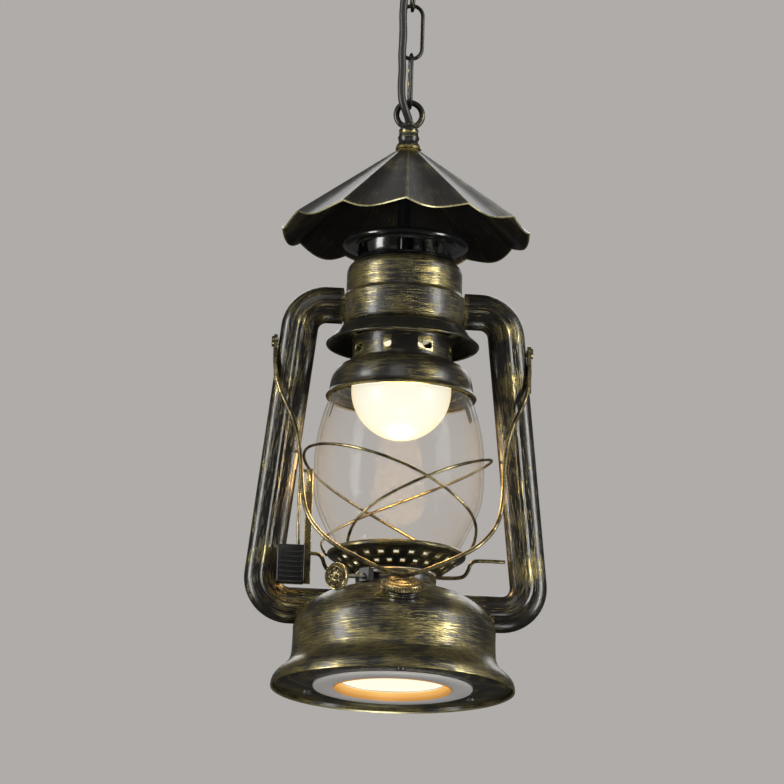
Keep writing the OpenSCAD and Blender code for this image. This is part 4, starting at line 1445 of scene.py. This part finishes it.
class LANTERN_OT_controls(bpy.types.Operator):
    """Adds the filler and its cap, the wick knob, and the lift lever with its thumb pad"""

    bl_idname = "lantern.controls"
    bl_label = "Cap, Knob and Lever"

    def execute(self, context):
        brass, pale = wire_brass(0.03), wire_brass(0.1)
        skirt_path = [(11.9, 10.3), (14.2, 10.3), (14.6, 10.8), (14.6, 13.8), (14.2, 14.3),
                      (13.4, 14.4), (12.6, 14.9), (10.6, 15.3), (8.8, 15.5), (8.1, 15.1), (6.8, 15),
                      (3.8, 15.5), (0, 15.9), (0, 13.9), (10.9, 13.5), (11.9, 12.6)]
        skirt = turned_apart("skirt", skirt_path, 96)
        rib = block("rib", (-0.4, -0.52, 10.6), (0.55, 0.52, 14.1), 0.25)
        ribs = wheel("ribs", rib, CAP_RIBS, 0.0146, 0.0, brass)
        cap = crisp(joined("filler_cap_knurled", [skirt, ribs]))
        moved(cap, cap_matrix())
        dress(worn(cap), pale, "fuel_cap", "filler_cap")

        neck_path = [(9.4, -4), (13.5, -4), (13.5, 5), (12.2, 5.4), (11.6, 5.8), (12.4, 6.3),
                     (12.4, 7), (11.6, 7.5), (12.4, 8), (12.4, 8.7), (11.6, 9.2), (11.2, 9.4),
                     (11.2, 13.1), (9.4, 13.1)]
        neck = turned_apart("filler_neck_collar", eased(neck_path + neck_path[:1], 0.3, 2)[:-1], 72)
        moved(crisp(neck), cap_matrix())
        dress(worn(neck), rubbed_brass(ALL_OVER, 0.36, 0.14), "lantern", "filler_neck")

        knob_path = [(0, 1.4), (3.4, 1.4), (3.9, 0.9), (5.4, 0.9), (6.1, 1.9), (7.0, 2.3),
                     (7.9, 1.9), (8.4, 1.2), (8.9, 1.4), (9.3, 0.7), (9.3, -0.7), (8.8, -1.2),
                     (3.2, -1.2), (3.2, -3.4), (1.58, -3.4), (1.58, 0.2), (0, 0.2)]
        disc = turned_apart("disc", [(r, z + 1.2) for r, z in knob_path], 72)
        petal_path = [(0, 0), (1.6, 0), (1.6, 0.8), (0.9, 1.5), (0, 1.7)]
        petal = turned_apart("petal", petal_path, 10)
        petal.data.transform(Matrix.Translation((0, 0, 2.2 * MM)))
        petals = wheel("petals", petal, KNOB_PETALS, 0.0046, 0.0, brass)
        boss_path = [(0, 2.2), (2.0, 2.2), (2.0, 3.6), (1.4, 4.2), (0, 4.4)]
        boss = turned_apart("boss", boss_path, 24)
        tooth = block("tooth", (-0.3, -0.5, -0.1), (0.5, 0.5, 2.1), 0.2)
        teeth = wheel("teeth", tooth, KNOB_TEETH, 0.0092, 0.0, brass)
        knob = crisp(joined("wick_knob_wheel", [disc, petals, boss, teeth]))
        moved(knob, knob_matrix(KNOB_REACH))
        dress(worn(knob), brass, "wick_control", "wick_knob")

        strip = block("strip", (-65, -3.5, 72), (-60, -2.0, 154), 0.5)
        rod_points = [(-68.6, -2.8, 95), (-69.2, -2.8, 110), (-69.3, -2.8, 128), (-69.2, -2.8, 144),
                      (-68.6, -2.8, 149.6), (-67.2, -2.8, 152.4), (-65.2, -2.8, 152.2),
                      (-63.6, -2.8, 149.6), (-62.8, -2.8, 145)]
        rod = wire("rod", [Vector(p) * MM for p in smooth_path(rod_points, 5)], LEVER_WIRE, brass)
        lever = crisp(joined("lift_lever_strip", [strip, rod]))
        moved(lever, round_the_lantern(0))
        dress(worn_again(lever), brass, "globe_carriage", "lift_lever")

        body = block("pad", (-84.5, -19, 69.5), (-65, -10, 96.5), 1.2)
        grips = [block("grip", (-82.6, -19.4, z), (-66.8, -18.4, z + 1.7), 0.6)
                 for z in (73 + GRIP_PITCH * i for i in range(PAD_GRIPS))]
        pad = crisp(joined("thumb_pad_grip", [body] + grips))
        moved(pad, round_the_lantern(0))
        dress(pad, moulded("pad_black", 0.008, 0.008, 0.008, 0.3), "globe_carriage", "thumb_pad")
        return {"FINISHED"}


# ---------------------------------------------------------------- base light


class LANTERN_OT_base_light(bpy.types.Operator):
    """Adds the lit disc in the fount's underside with its reflector and trim"""

    bl_idname = "lantern.base_light"
    bl_label = "Base Light"

    def execute(self, context):
        trim_path = [(41.3, 1.0), (42.2, 0.5), (53.4, 0.5), (55.0, 1.0), (55.5, 1.8), (55.5, 2.7),
                     (41.3, 2.7)]
        trim = crisp(turned("trim_ring_plate", trim_path))
        dress(trim, moulded("trim_white", 0.93, 0.9, 0.87, 0.35), "lantern", "trim_ring")

        plate_path = [(41.7, 3.9), (41.7, 2.9), (57, 2.9), (60, 2.4), (72, 2.4), (79.5, 2.8),
                      (82.3, 3.4), (82.3, 4.3), (79, 3.9)]
        plate = crisp(turned("base_plate_ring", plate_path))
        dress(worn(plate), rubbed_brass(TURNED, 0.55, 0.06), "lantern", "base_plate")

        cone_path = [(36.4, 5.7), (37.4, 4.6), (39, 2.9), (40.4, 1.5), (41, 0.8)]
        cone = crisp(turned("reflector_ring_cone", walled(cone_path, -0.7)))
        dress(cone, amber_reflector(), "lantern", "reflector_ring")

        lens_path = [(0, 6.5), (30, 6.55), (36.9, 6.7), (37, 8.5), (0, 8.5)]
        lens = crisp(turned("diffuser_lens", lens_path))
        dress(lens, glowing("diffuser_glow", 1.05, 0.3), "lantern", "diffuser")
        return {"FINISHED"}


# ---------------------------------------------------------------- finishes of CAD parts


class LANTERN_OT_finishes(bpy.types.Operator):
    """Gives each CAD part that shows as it is its finish"""

    bl_idname = "lantern.finishes"
    bl_label = "Finishes of CAD Parts"

    def execute(self, context):
        zinc = plain_metal("zinc", 0.5, 0.5, 0.48, 0.36)
        white = moulded("white_plastic", 0.78, 0.76, 0.7, 0.4)
        finishes = {
            "ceiling_rose": rubbed_brass(TURNED, 0.55, 0.1), "mounting_bar": zinc, "hook_nut": zinc,
            "rose_screws": wire_brass(0.04), "rose_hook": wire_brass(0.05),
            "cord_grommet": moulded("grommet_black", 0.02, 0.02, 0.02, 0.5),
            "terminal_block": white, "stem_tube": gloss_black(), "lamp_holder": white,
            "socket_contact": wire_brass(0.2), "bail_lugs": wire_brass(0.04),
            "bulb_cap": plain_metal("bulb_cap_metal", 0.7, 0.7, 0.68, 0.3),
            "base_screws": zinc, "light_can": plain_metal("spun_can", 0.72, 0.72, 0.72, 0.35),
            "led_board": white, "led_driver": white, "wick_shaft": zinc,
            "arm_lead": moulded("lead_red", 0.5, 0.08, 0.05, 0.45),
            "knob_bracket": moulded("bracket_black", 0.02, 0.02, 0.02, 0.4),
        }
        for node, finish in finishes.items():
            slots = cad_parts[node].data.materials
            slots.clear()
            slots.append(finish)
        return {"FINISHED"}


class LANTERN_PT_panel(bpy.types.Panel):
    """Lists the lantern's sizes, colours and pieces"""

    bl_idname = "LANTERN_PT_panel"
    bl_label = "Hanging Lantern"
    bl_space_type = "VIEW_3D"
    bl_region_type = "UI"
    bl_category = "Lantern"

    def draw(self, context):
        for group in (context.scene.lantern_sizes, context.scene.lantern_colours):
            box = self.layout.box()
            for name in group.__annotations__:
                box.prop(group, name)
        for piece in PIECES:
            self.layout.operator(piece.bl_idname)


PIECES = (
    LANTERN_OT_stage, LANTERN_OT_cord, LANTERN_OT_chain, LANTERN_OT_roof, LANTERN_OT_crown,
    LANTERN_OT_head, LANTERN_OT_globe, LANTERN_OT_wires, LANTERN_OT_arms, LANTERN_OT_fount,
    LANTERN_OT_controls, LANTERN_OT_base_light, LANTERN_OT_finishes,
)
CLASSES = (LanternSizes, LanternColours, *PIECES, LANTERN_PT_panel)


def register():
    for made in CLASSES:
        bpy.utils.register_class(made)
    bpy.types.Scene.lantern_sizes = bpy.props.PointerProperty(type=LanternSizes)
    bpy.types.Scene.lantern_colours = bpy.props.PointerProperty(type=LanternColours)


def unregister():
    del bpy.types.Scene.lantern_colours
    del bpy.types.Scene.lantern_sizes
    for made in reversed(CLASSES):
        bpy.utils.unregister_class(made)


def main():
    """Builds every piece in order."""
    register()
    for piece in PIECES:
        group, name = piece.bl_idname.split(".")
        getattr(getattr(bpy.ops, group), name)()


if __name__ == "__main__":
    main()
